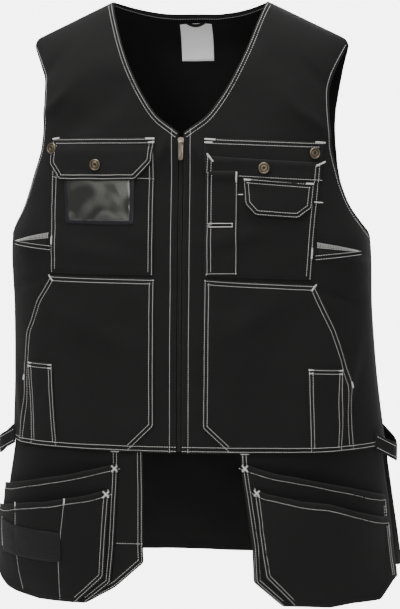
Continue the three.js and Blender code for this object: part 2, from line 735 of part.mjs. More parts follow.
// The pull hangs straight down from the slider's bar, round which it turns
function pullSolid() {
  const shape = new THREE.Shape();
  const half = PULL_WIDTH / 2;
  const end = PULL_LENGTH - half;
  const neck = EYE_WIDTH / 2;
  const shoulder = 2 * EYE_RADIUS;
  shape.moveTo(-neck, 0);
  shape.lineTo(-neck, -shoulder);
  shape.lineTo(-half, -shoulder - half / 2);
  shape.lineTo(-half, -end);
  shape.absarc(0, -end, half, Math.PI, 2 * Math.PI);
  shape.lineTo(half, -shoulder - half / 2);
  shape.lineTo(neck, -shoulder);
  shape.lineTo(neck, 0);
  const plate = new THREE.ExtrudeGeometry(shape, { depth: PULL_PLATE, bevelEnabled: false, curveSegments: 6 });
  plate.rotateX(Math.PI / 2);
  plate.translate(0, PULL_PLATE / 2, 0);
  const dent = new THREE.CylinderGeometry(half / 2, half / 2, PULL_PLATE, 12);
  dent.scale(1, 1, 3);
  dent.translate(0, -PULL_PLATE * 0.8, -PULL_LENGTH * 0.62);
  const eye = bar(EYE_RADIUS, EYE_WIDTH, 0, 0);
  return toSolid(plate).add(eye).subtract(toSolid(dent)).subtract(bar(BAR_RADIUS + EYE_CLEARANCE, PULL_WIDTH, 0, 0));
}
const pull = addSolid("zip_pull", "bronze", pullSolid());
pull.position.copy(new THREE.Vector3(0, barY, 0).applyEuler(sliderFrame.rotation).add(sliderSeat.point));

// Pockets: a piece of a layer inside an outline given as shares of its width and height
const placed = (rows, side, inset, width, drop, height) =>
  rows.map((row) => [side * (inset + row.across * width), drop + row.down * height]);

function addPocket(name, look, inner, outer, outline) {
  return addSolid(name, look, layer(front, inner, outer).intersect(prism(FRONT, outline)));
}

const RIGHT = -1;
const LEFT = 1;
const first = GAP;
const second = first + LAYER;
const third = second + LAYER;
const chestHeight = CHEST_BOTTOM_DROP - CHEST_TOP_DROP;
const hiddenMouth = CHEST_TOP_DROP + 2 * FLAP_BAND;
const chest = (key, side) => placed(OUTLINES[key], side, POCKET_INSET, CHEST_POCKET_WIDTH, CHEST_TOP_DROP, chestHeight);

const chestRight = placed(
  OUTLINES.chest_right, RIGHT, POCKET_INSET, CHEST_POCKET_WIDTH, hiddenMouth, CHEST_BOTTOM_DROP - hiddenMouth,
);
addPocket("chest_pocket_right", "canvas", first, first + POCKET_CLOTH, chestRight);
addPocket("chest_flap_left", "canvas", first, first + POCKET_CLOTH, chest("tucked_flap", LEFT));
addPocket("chest_pocket_left", "canvas", second, second + POCKET_CLOTH, chest("chest_left", LEFT));

// The right flap lies over the window, and its top band is sewn to the panel
const flapHeight = WINDOW_DROP + FLAP_BAND - CHEST_TOP_DROP;
const flapRows = placed(OUTLINES.flap, RIGHT, POCKET_INSET, CHEST_POCKET_WIDTH, CHEST_TOP_DROP, flapHeight);
const flapPrism = prism(FRONT, flapRows);
const bandPrism = prism(FRONT, strip(FAR, CHEST_TOP_DROP - FLAP_BAND, CHEST_TOP_DROP + FLAP_BAND));
const flap = layer(front, third, third + POCKET_CLOTH).intersect(flapPrism);
const flapBand = layer(front, first, third + POCKET_CLOTH / 2).intersect(flapPrism).intersect(bandPrism);
addSolid("chest_flap_right", "canvas", flap.add(flapBand));

const windowLow = WINDOW_DROP + WINDOW_HEIGHT;
const windowEdges = (grow) => [
  [-WINDOW_INSET + grow, WINDOW_DROP - grow],
  [-WINDOW_INSET - WINDOW_WIDTH - grow, WINDOW_DROP - grow],
  [-WINDOW_INSET - WINDOW_WIDTH - grow, windowLow + grow],
  [-WINDOW_INSET + grow, windowLow + grow],
];
const frame = layer(front, second, second + POCKET_CLOTH)
  .intersect(prism(FRONT, windowEdges(0)))
  .subtract(prism(FRONT, windowEdges(-WINDOW_BORDER)));
addSolid("id_window_frame", "vinyl", frame);
addPocket("id_window_film", "film", second, second + FILM, windowEdges(-WINDOW_BORDER - SEAM_GAP));

const penHeight = CHEST_BOTTOM_DROP - PEN_POCKET_DROP;
const penOutline = placed(
  OUTLINES.chest_right, LEFT, POCKET_INSET + 1, PEN_POCKET_WIDTH, PEN_POCKET_DROP, penHeight - 1,
);
const slitHalf = PEN_SLIT_WIDTH / 2;
const penMiddle = POCKET_INSET + 1 + PEN_POCKET_WIDTH / 2;
const penSlit = strip(slitHalf, PEN_SLIT_DROP, PEN_SLIT_DROP + PEN_SLIT_HEIGHT).map(([x, drop]) => [x + penMiddle, drop]);
const penPocket = layer(front, third, third + POCKET_CLOTH)
  .intersect(prism(FRONT, penOutline))
  .subtract(prism(FRONT, penSlit));
addSolid("pen_pocket", "canvas", penPocket);

const phoneOutline = placed(
  OUTLINES.phone_flap, LEFT, PHONE_FLAP_INSET, PHONE_FLAP_WIDTH, PHONE_FLAP_DROP, PHONE_FLAP_HEIGHT,
);
addPocket("phone_flap", "canvas", third, third + POCKET_CLOTH, phoneOutline);

const lowerTop = CHEST_BOTTOM_DROP + LOWER_POCKET_GAP;
const rulerTop = FRONT_LENGTH - RULER_POCKET_HEIGHT;
for (const [name, side] of [["right", RIGHT], ["left", LEFT]]) {
  const lower = placed(
    OUTLINES["lower_" + name], side, POCKET_INSET, LOWER_POCKET_WIDTH, lowerTop, FRONT_LENGTH - lowerTop - 1,
  );
  addPocket("lower_pocket_" + name, "canvas", first, first + POCKET_CLOTH, lower);
  const ruler = placed(
    OUTLINES["ruler_" + name], side, RULER_POCKET_INSET, RULER_POCKET_WIDTH, rulerTop, RULER_POCKET_HEIGHT - 2,
  );
  addPocket("ruler_pocket_" + name, "canvas", second, second + POCKET_CLOTH, ruler);
  const slitDrop = SLIT.drop + (side === LEFT ? SLIT.left_drop : 0);
  const slit = placed(OUTLINES.side_slit, side, SLIT.inset, SLIT.width, slitDrop, SLIT.height);
  addPocket("side_slit_" + name, "lining", first, first + TAPE, slit);
}

// Buttons: a rim round a dimple
const acrossChest = (share) => POCKET_INSET + share * CHEST_POCKET_WIDTH;
const downFlap = (share) => CHEST_TOP_DROP + share * flapHeight;
const abovePhone = PHONE_FLAP_DROP - BUTTON_RADIUS - BUTTON_CLEARANCE;
const BUTTONS = [
  { name: "button_right_outer", side: RIGHT, inset: acrossChest(1), drop: downFlap(0.276), layer: third },
  { name: "button_right_middle", side: RIGHT, inset: acrossChest(0.555), drop: downFlap(0.638), layer: third },
  { name: "button_left_middle", side: LEFT, inset: acrossChest(0.527), drop: abovePhone, layer: second },
  { name: "button_left_outer", side: LEFT, inset: acrossChest(0.973), drop: downFlap(0.362), layer: first },
];
const BUTTON_PROFILE = [
  { out: 0.0, up: 0.0 },
  { out: 0.9, up: 0.0 },
  { out: 1.0, up: 0.35 },
  { out: 0.94, up: 0.85 },
  { out: 0.8, up: 1.0 },
  { out: 0.64, up: 0.7 },
  { out: 0.0, up: 0.55 },
];
for (const button of BUTTONS) {
  const profile = BUTTON_PROFILE.map((row) => new THREE.Vector2(row.out * BUTTON_RADIUS, row.up * BUTTON_HEIGHT));
  const geometry = new THREE.LatheGeometry(profile, 20);
  const seat = onCloth(front, button.side * button.inset, button.drop, button.layer + POCKET_CLOTH + BUTTON_LIFT);
  geometry.deleteAttribute("normal");
  geometry.deleteAttribute("uv");
  const mesh = addMesh(button.name, "brass", mergeVertices(geometry, 1e-4));
  mesh.quaternion.setFromUnitVectors(new THREE.Vector3(0, 1, 0), seat.normal);
  mesh.position.copy(seat.point);
}

// Holsters hang from the hem and splay outwards
function holsterSheet(side, lastColumn) {
  const drops = [-HOLSTER_TUCK, 0];
  for (let r = 1; r <= HOLSTER_ROWS; r += 1) drops.push((r / HOLSTER_ROWS) * (HOLSTER_LENGTH + 2));
  const rows = drops.map((below) => {
    const size = section(side, FRONT_LENGTH + Math.min(0, below));
    const half = size.half + (HOLSTER_SPLAY * Math.max(0, below)) / HOLSTER_LENGTH;
    const row = [];
    for (let c = HOLSTER_COLUMNS.first; c <= lastColumn; c += 1) {
      const point = turned(side, c / COLUMNS, half, size.front);
      row.push(new THREE.Vector3(point.x, -point.y - SEAM_GAP / 2, ORIGIN_DROP - FRONT_LENGTH - below));
    }
    return side > 0 ? row : row.reverse();
  });
  const plain = sheet(rows);
  plain.points.forEach((point, i) => {
    const below = ORIGIN_DROP - FRONT_LENGTH - point.z;
    const hem = point.clone().setZ(Math.max(point.z, ORIGIN_DROP - FRONT_LENGTH));
    point.addScaledVector(plain.normals[i], foldHeight(hem) * (1 - clamp(below / HOLSTER_LENGTH)));
  });
  return sheet(rows);
}

// How far a pocket stands away from what it is sewn to, at a point
function gape(depth, mouth) {
  return (point) => {
    const across = clamp((Math.abs(point.x) - HOLSTER_INSET) / HOLSTER_WIDTH);
    const below = -FRONT_LENGTH + ORIGIN_DROP - point.z;
    const down = clamp((below - mouth) / (HOLSTER_LENGTH - mouth));
    return depth * Math.sin(Math.PI * across) * (1 - down * down);
  };
}

const holsterBack = -CLOTH - 2 * GAP;
const innerPocket = gape(INNER_GAPE, HOLSTER_LENGTH / 5);
const outerPocket = gape(INNER_GAPE + OUTER_GAPE, HOLSTER_LENGTH / 3);
const beyond = (base, bulge) => (point) => base + bulge(point);
const outerBulge = (point) => Math.max(outerPocket(point), innerPocket(point));

for (const [name, side] of [["right", RIGHT], ["left", LEFT]]) {
  const rows = HOLSTERS[name];
  const place = (part) => placed(part, side, HOLSTER_INSET, HOLSTER_WIDTH, FRONT_LENGTH, HOLSTER_LENGTH);
  const bottom = place(rows.bottom);
  const cloth = holsterSheet(side, HOLSTER_COLUMNS.last);
  const backing = side === LEFT ? holsterSheet(side, HOLSTER_COLUMNS.left_backing) : cloth;
  const backOutline = [...place(rows.back), ...bottom.slice().reverse(), [side * FAR, FRONT_LENGTH - HOLSTER_TUCK * 2]];
  const backCut = prism(FRONT, backOutline);
  addSolid("holster_back_" + name, "canvas", layer(backing, holsterBack - CLOTH, holsterBack).intersect(backCut));
  const innerBase = holsterBack + GAP;
  const innerOutline = [...place(rows.inner_mouth), ...bottom, ...place(rows.inner_corner)];
  const inner = layer(cloth, beyond(innerBase, innerPocket), beyond(innerBase + POCKET_CLOTH, innerPocket));
  addSolid("holster_inner_" + name, "canvas", inner.intersect(prism(FRONT, innerOutline)));
  const outerBase = innerBase + LAYER;
  const outerOutline = [...place(rows.outer_mouth), ...bottom.slice(0, -1), ...place(rows.outer_corner)];
  const outer = layer(cloth, beyond(outerBase, outerBulge), beyond(outerBase + POCKET_CLOTH, outerBulge));
  addSolid("holster_outer_" + name, "canvas", outer.intersect(prism(FRONT, outerOutline)));
  if (side === RIGHT) {
    const bandBase = outerBase + LAYER;
    const band = layer(cloth, beyond(bandBase, outerBulge), beyond(bandBase + BAND, outerBulge));
    const across = [TOOL_BAND.across, TOOL_BAND.across + TOOL_BAND.width];
    const down = [TOOL_BAND.down, TOOL_BAND.down + TOOL_BAND.height];
    const corners = [
      { across: across[0], down: down[0] + 0.025 },
      { across: across[1], down: down[0] },
      { across: across[1], down: down[1] },
      { across: across[0], down: down[1] + 0.015 },
    ];
    addSolid("tool_band", "elastic", band.intersect(prism(FRONT, place(corners))));
  }
}

// Hammer loops: a band from the front hem round the side seam to the back
function hammerLoop(side) {
  const start = bodyPoint(FRONT, side, 0.8, 2, FRONT_LENGTH - LOOP_HEIGHT / 3);
  const end = bodyPoint(BACK, side, 0.88, 2, FRONT_LENGTH - LOOP_HEIGHT / 3);
  const half = section(side, FRONT_LENGTH).half;
  const low = ORIGIN_DROP - FRONT_LENGTH;
  const stand = CLOTH / 2 + GAP;
  const outward = new THREE.Vector3(side, 0, 0);
  start.add(new THREE.Vector3(side, -1, 0).normalize().multiplyScalar(stand + GAP));
  end.add(new THREE.Vector3(side, 1, 0).normalize().multiplyScalar(stand + 3 * GAP));
  const path = new THREE.CatmullRomCurve3([
    start,
    new THREE.Vector3(side * (half + LOOP_REACH * 0.75), -FRONT_DEPTH / 3, low - LOOP_HEIGHT / 4),
    new THREE.Vector3(side * (half + LOOP_REACH), -FRONT_DEPTH / 8, low - LOOP_HEIGHT / 2),
    new THREE.Vector3(side * (half + LOOP_REACH * 0.7), BACK_DEPTH / 8, low - LOOP_HEIGHT / 4),
    end,
  ]);
  const steps = 14;
  const positions = [];
  const index = [];
  for (let step = 0; step <= steps; step += 1) {
    const centre = path.getPoint(step / steps);
    const along = path.getTangent(step / steps).setZ(0).normalize();
    const out = new THREE.Vector3(along.y, -along.x, 0);
    if (out.dot(outward) < 0) out.negate();
    for (const [thick, tall] of [[0.5, 0.5], [-0.5, 0.5], [-0.5, -0.5], [0.5, -0.5]]) {
      const corner = centre.clone().addScaledVector(out, thick * CLOTH);
      positions.push(corner.x, corner.y, corner.z + tall * LOOP_HEIGHT);
    }
    if (step === steps) continue;
    for (let k = 0; k < 4; k += 1) {
      const a = step * 4 + k;
      const b = step * 4 + ((k + 1) % 4);
      index.push(a, b, b + 4, a, b + 4, a + 4);
    }
  }
  const last = steps * 4;
  index.push(0, 2, 1, 0, 3, 2, last, last + 1, last + 2, last, last + 2, last + 3);
  if (side > 0) for (let i = 0; i < index.length; i += 3) [index[i], index[i + 1]] = [index[i + 1], index[i]];
  const geometry = new THREE.BufferGeometry();
  geometry.setAttribute("position", new THREE.Float32BufferAttribute(positions, 3));
  geometry.setIndex(index);
  return geometry;
}
addMesh("hammer_loop_right", "elastic", hammerLoop(RIGHT));
addMesh("hammer_loop_left", "elastic", hammerLoop(LEFT));

export default vest;
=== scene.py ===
"""Utility work vest: cloth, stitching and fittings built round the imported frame. Tables hold millimetres."""
import math

import bpy
import numpy as np
from bpy.props import FloatProperty, FloatVectorProperty, IntProperty, PointerProperty
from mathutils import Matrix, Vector
from mathutils.geometry import delaunay_2d_cdt


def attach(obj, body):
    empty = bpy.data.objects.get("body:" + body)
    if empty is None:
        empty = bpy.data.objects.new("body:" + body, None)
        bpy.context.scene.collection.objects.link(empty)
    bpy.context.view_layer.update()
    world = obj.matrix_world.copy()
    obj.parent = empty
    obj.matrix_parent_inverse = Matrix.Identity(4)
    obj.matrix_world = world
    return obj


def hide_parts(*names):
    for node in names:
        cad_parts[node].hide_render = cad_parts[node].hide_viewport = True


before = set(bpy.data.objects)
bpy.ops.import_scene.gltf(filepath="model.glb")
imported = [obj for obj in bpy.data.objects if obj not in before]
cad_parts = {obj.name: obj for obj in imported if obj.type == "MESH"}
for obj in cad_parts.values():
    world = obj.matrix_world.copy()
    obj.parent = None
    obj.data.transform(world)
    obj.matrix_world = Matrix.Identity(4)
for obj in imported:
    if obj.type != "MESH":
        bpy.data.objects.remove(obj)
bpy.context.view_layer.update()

bl_info = {
    "name": "Utility Work Vest",
    "version": (1, 0, 0),
    "blender": (4, 5, 0),
    "location": "3D Viewport > Sidebar > Vest",
    "description": "Builds a zipped work vest with chest pockets, lower pockets and hanging holster pockets",
    "category": "Object",
}

MM = 0.001
FRONT, BACK = -1, 1
RIGHT, LEFT = -1, 1
NAMES = {RIGHT: "right", LEFT: "left"}

# Body of the vest, as in the frame
CHEST_HALF_WIDTH = 250
FRONT_DEPTH, BACK_DEPTH = 115, 100
FRONT_LENGTH = 608
TAIL_LENGTH, TAIL_CORNER = 183, 45
HEM_SWING, SWING_START, SWING_POWER = 22, 0.54, 1.3
SQUARENESS = 2.4
ROUNDING = {FRONT: 130, BACK: 75}
LENGTH = {FRONT: FRONT_LENGTH, BACK: FRONT_LENGTH + TAIL_LENGTH}
NECK_HALF_WIDTH, NECK_FRONT_DROP, NECK_BACK_REACH, NECK_TAPE_WIDTH = 107, 180, 48, 7
SHOULDER_RUN, SHOULDER_FALL = 109, 52
ORIGIN_DROP = SHOULDER_FALL / 2
ARMHOLE_TOP, ARMHOLE_HEIGHT = 50, 272
ARMHOLE_REACH = {FRONT: 52, BACK: 55}
ZIP_EDGE = 4.2
SEAM_GAP = 0.3

# Shares of the front length, half width, front depth and back depth
SECTIONS = np.array([
    (0.0, 0.904, 0.54, 0.72), (0.084, 0.888, 0.643, 0.84), (0.174, 0.864, 0.73, 0.95),
    (0.257, 0.86, 0.81, 1.01),
    (0.331, 0.876, 0.88, 1.04), (0.388, 0.904, 0.92, 1.04), (0.462, 0.944, 0.965, 1.03),
    (0.536, 1.0, 1.0, 1.0),
    (0.7, 0.992, 1.035, 0.95), (0.849, 0.992, 1.07, 0.96), (1.0, 1.004, 1.104, 1.01),
    (1.309, 1.032, 1.148, 1.1),
])
WIDTH_COLUMN, FRONT_COLUMN, BACK_COLUMN = 1, 2, 3

# Broad folds: across, down, tilt, length, width, height
FOLDS = [
    (-0.7, 0.2, 35, 0.14, 0.04, 0.006), (-0.55, 0.27, 40, 0.12, 0.035, -0.005),
    (0.62, 0.24, -30, 0.12, 0.04, 0.005),
    (0.82, 0.72, 80, 0.26, 0.045, 0.007), (-0.84, 0.8, 95, 0.22, 0.04, 0.006),
    (0.45, 0.86, 85, 0.2, 0.06, -0.006),
    (-0.4, 0.9, 95, 0.18, 0.06, -0.005),
]
# Small creases in the same form
CREASES = [
    (-0.86, 0.12, 62, 0.07, 0.012, 0.0026), (-0.8, 0.17, 50, 0.08, 0.014, -0.0024),
    (-0.74, 0.24, 42, 0.06, 0.012, 0.0022),
    (0.84, 0.13, -60, 0.07, 0.013, 0.0024), (0.76, 0.19, -48, 0.08, 0.014, -0.0022),
    (0.7, 0.27, -40, 0.06, 0.012, 0.002),
    (-0.1, 0.33, 60, 0.05, 0.014, 0.0018), (0.1, 0.34, -60, 0.05, 0.014, 0.0018),
    (-0.9, 0.56, 12, 0.06, 0.014, 0.0026),
    (0.92, 0.58, -14, 0.07, 0.014, 0.0028), (0.88, 0.66, -20, 0.06, 0.012, -0.002),
    (-0.92, 0.64, 18, 0.06, 0.012, -0.002),
    (0.9, 0.85, 75, 0.1, 0.014, 0.003), (-0.93, 0.9, 100, 0.09, 0.013, 0.003),
    (0.4, 0.7, 30, 0.09, 0.03, 0.002),
    (-0.4, 0.75, -25, 0.09, 0.03, 0.002), (0.3, 0.52, 10, 0.08, 0.02, 0.0018),
    (-0.45, 0.56, -8, 0.08, 0.02, 0.0016),
]

# Front neckline: shares of the neck's half width and front drop
NECKLINE = [
    (0.036, 0.99), (0.15, 0.94), (0.32, 0.86), (0.48, 0.73), (0.65, 0.55), (0.79, 0.36), (0.92, 0.14),
    (1.0, 0.0),
]
# Armhole: shares of its height and of its reach forward and back
ARMHOLE = [
    (0.0, 0.0, 0.0), (0.11, 0.4, 0.4), (0.21, 0.7, 0.66), (0.32, 0.87, 0.81), (0.45, 0.96, 0.92),
    (0.6, 1.0, 0.99),
    (0.76, 0.96, 0.97), (0.88, 0.8, 0.8), (0.96, 0.5, 0.5), (1.0, 0.0, 0.0),
]

# Pockets
POCKET_INSET = 34
CHEST_WIDTH, CHEST_TOP, CHEST_BOTTOM = 146, 185, 369
CHEST_HEIGHT = CHEST_BOTTOM - CHEST_TOP
FLAP_HEIGHT, FLAP_BAND = 58, 8
LOWER_WIDTH, LOWER_TOP = 197, 374
LOWER_HEIGHT = FRONT_LENGTH - LOWER_TOP - 1
RULER_WIDTH, RULER_HEIGHT, RULER_INSET = 41, 115, 174
WINDOW_WIDTH, WINDOW_HEIGHT, WINDOW_INSET, WINDOW_DROP, WINDOW_BORDER = 98, 66, 63, 235, 6
PHONE_WIDTH, PHONE_HEIGHT, PHONE_INSET, PHONE_DROP = 92, 54, 84.5, 238
PEN_WIDTH, PEN_DROP, PEN_SLIT_DROP, PEN_SLIT_WIDTH, PEN_SLIT_HEIGHT = 42, 229, 300, 26, 2
SLIT_INSET, SLIT_WIDTH, SLIT_HEIGHT = 185, 52, 23
SLIT_DROP = {RIGHT: 314, LEFT: 324}
HIDDEN_MOUTH = CHEST_TOP + 2 * FLAP_BAND

# Outlines: shares of the piece's width from its inner edge, and of its height from its top
OUTLINES = {
    "flap": [(0.01, 0.0), (1.0, 0.04), (1.025, 0.62), (0.92, 1.0), (0.19, 0.97), (0.03, 0.55)],
    "chest_right": [(0.01, 0.0), (1.0, 0.0), (1.0, 0.995), (0.015, 1.0)],
    "chest_left": [(0.0, 0.13), (1.03, 0.185), (0.97, 1.03), (0.0, 1.0)],
    "tucked_flap": [(-0.02, 0.0), (1.05, 0.035), (1.03, 0.32), (0.0, 0.28)],
    "phone_flap": [(0.0, 0.0), (1.0, 0.16), (0.97, 0.75), (0.78, 1.0), (0.18, 0.91), (0.03, 0.64)],
    "lower_right": [
        (0.0, 0.0), (0.745, -0.005), (0.85, 0.14), (0.932, 0.33), (0.962, 0.61), (0.995, 1.0), (0.175, 1.0),
        (0.0, 0.855),
    ],
    "lower_left": [
        (-0.005, 0.0), (0.742, 0.035), (0.88, 0.3), (0.945, 0.47), (0.988, 0.62), (1.015, 1.0),
        (0.167, 1.0), (-0.01, 0.86),
    ],
    "ruler_right": [(0.08, 0.005), (0.96, 0.0), (0.85, 1.0), (-0.1, 1.0)],
    "ruler_left": [(-0.06, 0.01), (1.04, 0.035), (1.04, 1.0), (0.02, 1.0)],
    "side_slit": [(0.0, 0.0), (1.0, 0.62), (0.98, 0.72), (0.0, 1.0)],
}

# Holsters: shares of the holster's width from its inner edge, and of its length from the hem
HOLSTER_LENGTH, HOLSTER_TUCK, HOLSTER_SPLAY, HOLSTER_INSET, HOLSTER_WIDTH = 213, 10, 30, 85, 190
INNER_GAPE, OUTER_GAPE = 14, 12
LAST_TURN, LAST_BACKING_TURN = 11 / 13, 12 / 13
BAND_ACROSS, BAND_WIDTH, BAND_DOWN, BAND_HEIGHT = 0.385, 0.46, 0.515, 0.2
HOLSTERS = {
    RIGHT: {
        "back": [(-0.18, -0.045), (-0.18, 0.62), (-0.185, 0.72), (0.02, 0.885)],
        "inner_mouth": [(0.0, 0.085), (0.12, 0.112), (0.35, 0.165), (0.59, 0.217), (0.9, 0.297), (1.4, 0.34)],
        "outer_mouth": [
            (0.055, 0.25), (0.2, 0.287), (0.36, 0.31), (0.51, 0.34), (0.71, 0.39), (0.9, 0.437),
            (1.4, 0.47),
        ],
        "inner_corner": [(0.055, 0.86), (0.03, 0.62)],
        "outer_corner": [(0.31, 1.0), (0.1, 0.82)],
        "bottom": [
            (1.4, 0.86), (0.95, 0.862), (0.925, 0.905), (0.86, 0.953), (0.79, 0.972), (0.6, 1.0),
            (0.24, 1.0),
        ],
    },
    LEFT: {
        "back": [(-0.01, -0.045), (0.01, 0.15), (0.08, 0.6), (0.09, 0.83)],
        "inner_mouth": [
            (0.0, 0.065), (0.12, 0.1), (0.24, 0.127), (0.385, 0.147), (0.585, 0.193), (0.77, 0.24),
            (0.98, 0.31), (1.4, 0.4),
        ],
        "outer_mouth": [
            (0.085, 0.215), (0.15, 0.245), (0.24, 0.262), (0.41, 0.295), (0.585, 0.325), (0.77, 0.38),
            (1.0, 0.46), (1.4, 0.55),
        ],
        "inner_corner": [(0.105, 0.83), (0.09, 0.6)],
        "outer_corner": [(0.375, 0.985), (0.17, 0.79)],
        "bottom": [(1.4, 0.86), (1.08, 0.87), (0.985, 0.977), (0.79, 0.98), (0.63, 1.0), (0.295, 0.985)],
    },
}

# Loops, label and the buttons' size
LOOP_HEIGHT, LOOP_REACH = 24, 17
LABEL_WIDTH, LABEL_HEIGHT, LABEL_DROP = 45, 52, 28
HANGER_WIDTH, HANGER_BAND = 34, 4
BUTTON_RADIUS, BUTTON_HEIGHT = 8, 3
# Buttons: name, side, inset, drop, and the layer of the chest that each sits on
BUTTONS = [
    ("button_right_outer", RIGHT, 180, 201, 3), ("button_right_middle", RIGHT, 115, 222, 3),
    ("button_left_middle", LEFT, 111, 225, 2), ("button_left_outer", LEFT, 176, 206, 1),
]

# Stitch lines: distances in from an edge
EDGE_STITCH, SECOND_STITCH = 1.8, 6.6
ZIP_STITCH, ARMHOLE_STITCH, NECK_STITCHES, TAIL_STITCHES = 12.6, 5.0, (2.4, 7.0), (2.0, 18.0)
MOUTH_STITCH = 7.6
# Space between pieces that lie on each other, and the distance given where there is no seam or edge
GAP = 0.15
FAR = 99.0

# How cloth swells in from its edge, and how it is drawn in along a seam
PUFF_RUN, SEAM_GROOVE, PUCKER_REACH, PUCKER_SIZE = 14, 1.3, 4.5, 5.5
# Points of a piece's mesh: beside its seams, and shares of their spacing
FLANK, ROW_SHARE, EDGE_SHARE, SEAM_SHARE = 1.8, 0.866, 0.55, 0.45
# Rim of a piece: its bulge and the easing of its two edges, as shares of its thickness up to a limit
RIM_BULGE, UPPER_EASE, LOWER_EASE, RIM_LIMIT = 0.3, 0.22, 0.1, 2.0

# Small forms of the pockets, the side slits and the holsters
FILM_WAVE, FILM_WAVE_LENGTH, FLAP_HANG, PHONE_HANG = 0.9, 14, 2.2, 2.0
SLIT_CLOTH, SLIT_STITCH_WIDTHS, SLIT_STITCH_PITCH = 0.8, (6.0, 1.5), 2.3
SLIT_WEDGE = ((-1, 4.5), (24, 9), (48, 14.5))
SLIT_ROWS = ((18.5, -3.5), (23.5, -4.0))
HOLSTER_BEHIND, LAYER_GAP = 0.8, 0.4
# Ends of a hammer loop: its face, its share of the quarter turn, and how many gaps it stands off
LOOP_ENDS = ((FRONT, 0.8, 1), (BACK, 0.88, 3))

# Inside of the back neck and the zip's tape: depths below the cloth's face
NECK_OUTER, NECK_INNER, HANGER_OUTER, HANGER_INNER = 2.0, 2.8, 3.2, 4.2
ZIP_TAPE_HALF, ZIP_TAPE_OUTER, ZIP_TAPE_INNER = 14.0, 2.0, 2.8
TOOTH_PITCH, TOOTH_LENGTH, TOOTH_SIZE, TOOTH_DEPTH = 2.0, 3.6, 2.1, 0.75

# Bartacks: two ends as x and drop, and the width of one that isn't the usual
USUAL_TACK = 2.6
FLAP_TACKS_RIGHT = [((-171, 186.5), (-180, 188)), ((-36, 186), (-48, 186)), ((-36, 191), (-44, 191))]
POCKET_TACKS_RIGHT = [((-178, 319), (-178, 330))]
FLAP_TACKS_LEFT = [((32, 186.5), (46, 187)), ((32, 191), (42, 191)), ((177, 191), (189, 192))]
MOUTH_TACKS_LEFT = [((35, 206.5), (43, 216)), ((178, 223), (190, 217.5))]
POCKET_TACKS_LEFT = [((78, 260), (84, 260), 1.6), ((177, 271), (188, 272), 1.6), ((176.5, 333), (175.5, 346))]
PHONE_TACKS = [((86, 240), (94, 240.5)), ((166, 246.5), (175, 247))]
PEN_TACKS = [
    ((75.5, 230), (75, 243)), ((39.5, 298.6), (70.5, 298.6), 1.2), ((39.5, 303.4), (70.5, 303.4), 1.2),
    ((39.5, 298.6), (39.5, 303.4), 1.2), ((70.5, 298.6), (70.5, 303.4), 1.2),
]
HOLSTER_TACKS = [((-217, 688), (-217.5, 694)), ((-152, 673), (-152.5, 680)), ((-247, 716), (-248, 755), 1.4)]
HOLSTER_DIVIDERS = [[(-217, 690), (-221, 742), (-222, 809)], [(-152, 675), (-160, 748), (-166, 817)]]

# View of the photograph: turn, rise, distance and step to the right, then the lens and its film
VIEW_TURN, VIEW_RISE, VIEW_DISTANCE, VIEW_STEP = 7, 6, 3.0, 0.0133
VIEW_MIDDLE = (0, 0, -0.394)
LENS, FILM_WIDTH = 126.67, 36
FLOOR_RADIUS, FLOOR_DROP, FLOOR_CORNERS = 2.2, 1.5, 48
LIT_MIDDLE = (0, 0, -0.35)
# Lights: name, place, target, size and power
LIGHTS = [
    ("key", (-1.6, -2.1, 2.3), LIT_MIDDLE, (1.2, 0.9), 84),
    ("fill", (0.9, -2.9, 0.6), LIT_MIDDLE, (1.6, 1.8), 26),
    ("top", (0, -0.3, 2.4), (0, 0, 0), (1.8, 1.0), 95),
    ("behind", (0.8, 2.6, 1.2), LIT_MIDDLE, (1.6, 1.6), 60),
]


def length(name, description, default):
    """A size that a user can change."""
    return FloatProperty(name=name, description=description, default=default, unit="LENGTH")


def tone(name, description, default):
    """A colour that a user can change."""
    return FloatVectorProperty(
        name=name, description=description, default=default, subtype="COLOR", min=0, max=1,
    )


class VestSizes(bpy.types.PropertyGroup):
    """Sizes of the cloth and its stitching"""

    cloth: length("Body cloth", "Thickness of the body's cloth", 0.0016)
    pocket_cloth: length("Pocket cloth", "Thickness of a pocket's cloth", 0.0012)
    stitch_pitch: length("Stitch pitch", "Distance from one stitch to the next", 0.0034)
    stitch_length: length("Stitch length", "Length of one stitch", 0.0024)
    thread: length("Thread", "Thickness of the stitching thread", 0.0007)
    tack_pitch: length("Bartack pitch", "Distance between a bartack's stitches", 0.0008)
    mesh_size: length("Mesh size", "Distance between the cloth's points", 0.005)
    creasing: FloatProperty(
        name="Creasing", description="Strength of the small creases",
        default=2.5, min=0.0, max=3.0, subtype="FACTOR",
    )
    puckering: length("Puckering", "How far seams pull the cloth in", 0.0004)
    twill: length("Twill", "Distance between the twill's ribs", 0.0011)
    seed: IntProperty(name="Seed", description="Seed of the small irregularities", default=7, min=0)


class VestColours(bpy.types.PropertyGroup):
    """Colours of the vest's materials"""

    canvas: tone("Canvas", "Colour of the cloth", (0.0052, 0.0052, 0.005))
    faded: tone("Faded canvas", "Colour where the cloth is worn", (0.02, 0.02, 0.0192))
    thread: tone("Thread", "Colour of the stitching", (0.68, 0.67, 0.64))
    label: tone("Label", "Colour of the bare label", (0.96, 0.96, 0.95))
    brass: tone("Antique brass", "Colour of the buttons", (0.14, 0.118, 0.088))
    bronze: tone("Bronze", "Colour of the slider and pull", (0.3, 0.26, 0.21))
    film: tone("Film", "Tint of the window's film", (0.045, 0.046, 0.04))


def sizes():
    return bpy.context.scene.vest_sizes


def colours():
    return bpy.context.scene.vest_colours


def need(made, what):
    """Stops the build where something that it relies on is missing."""
    if not made:
        raise RuntimeError(what)
    return made


# Lines


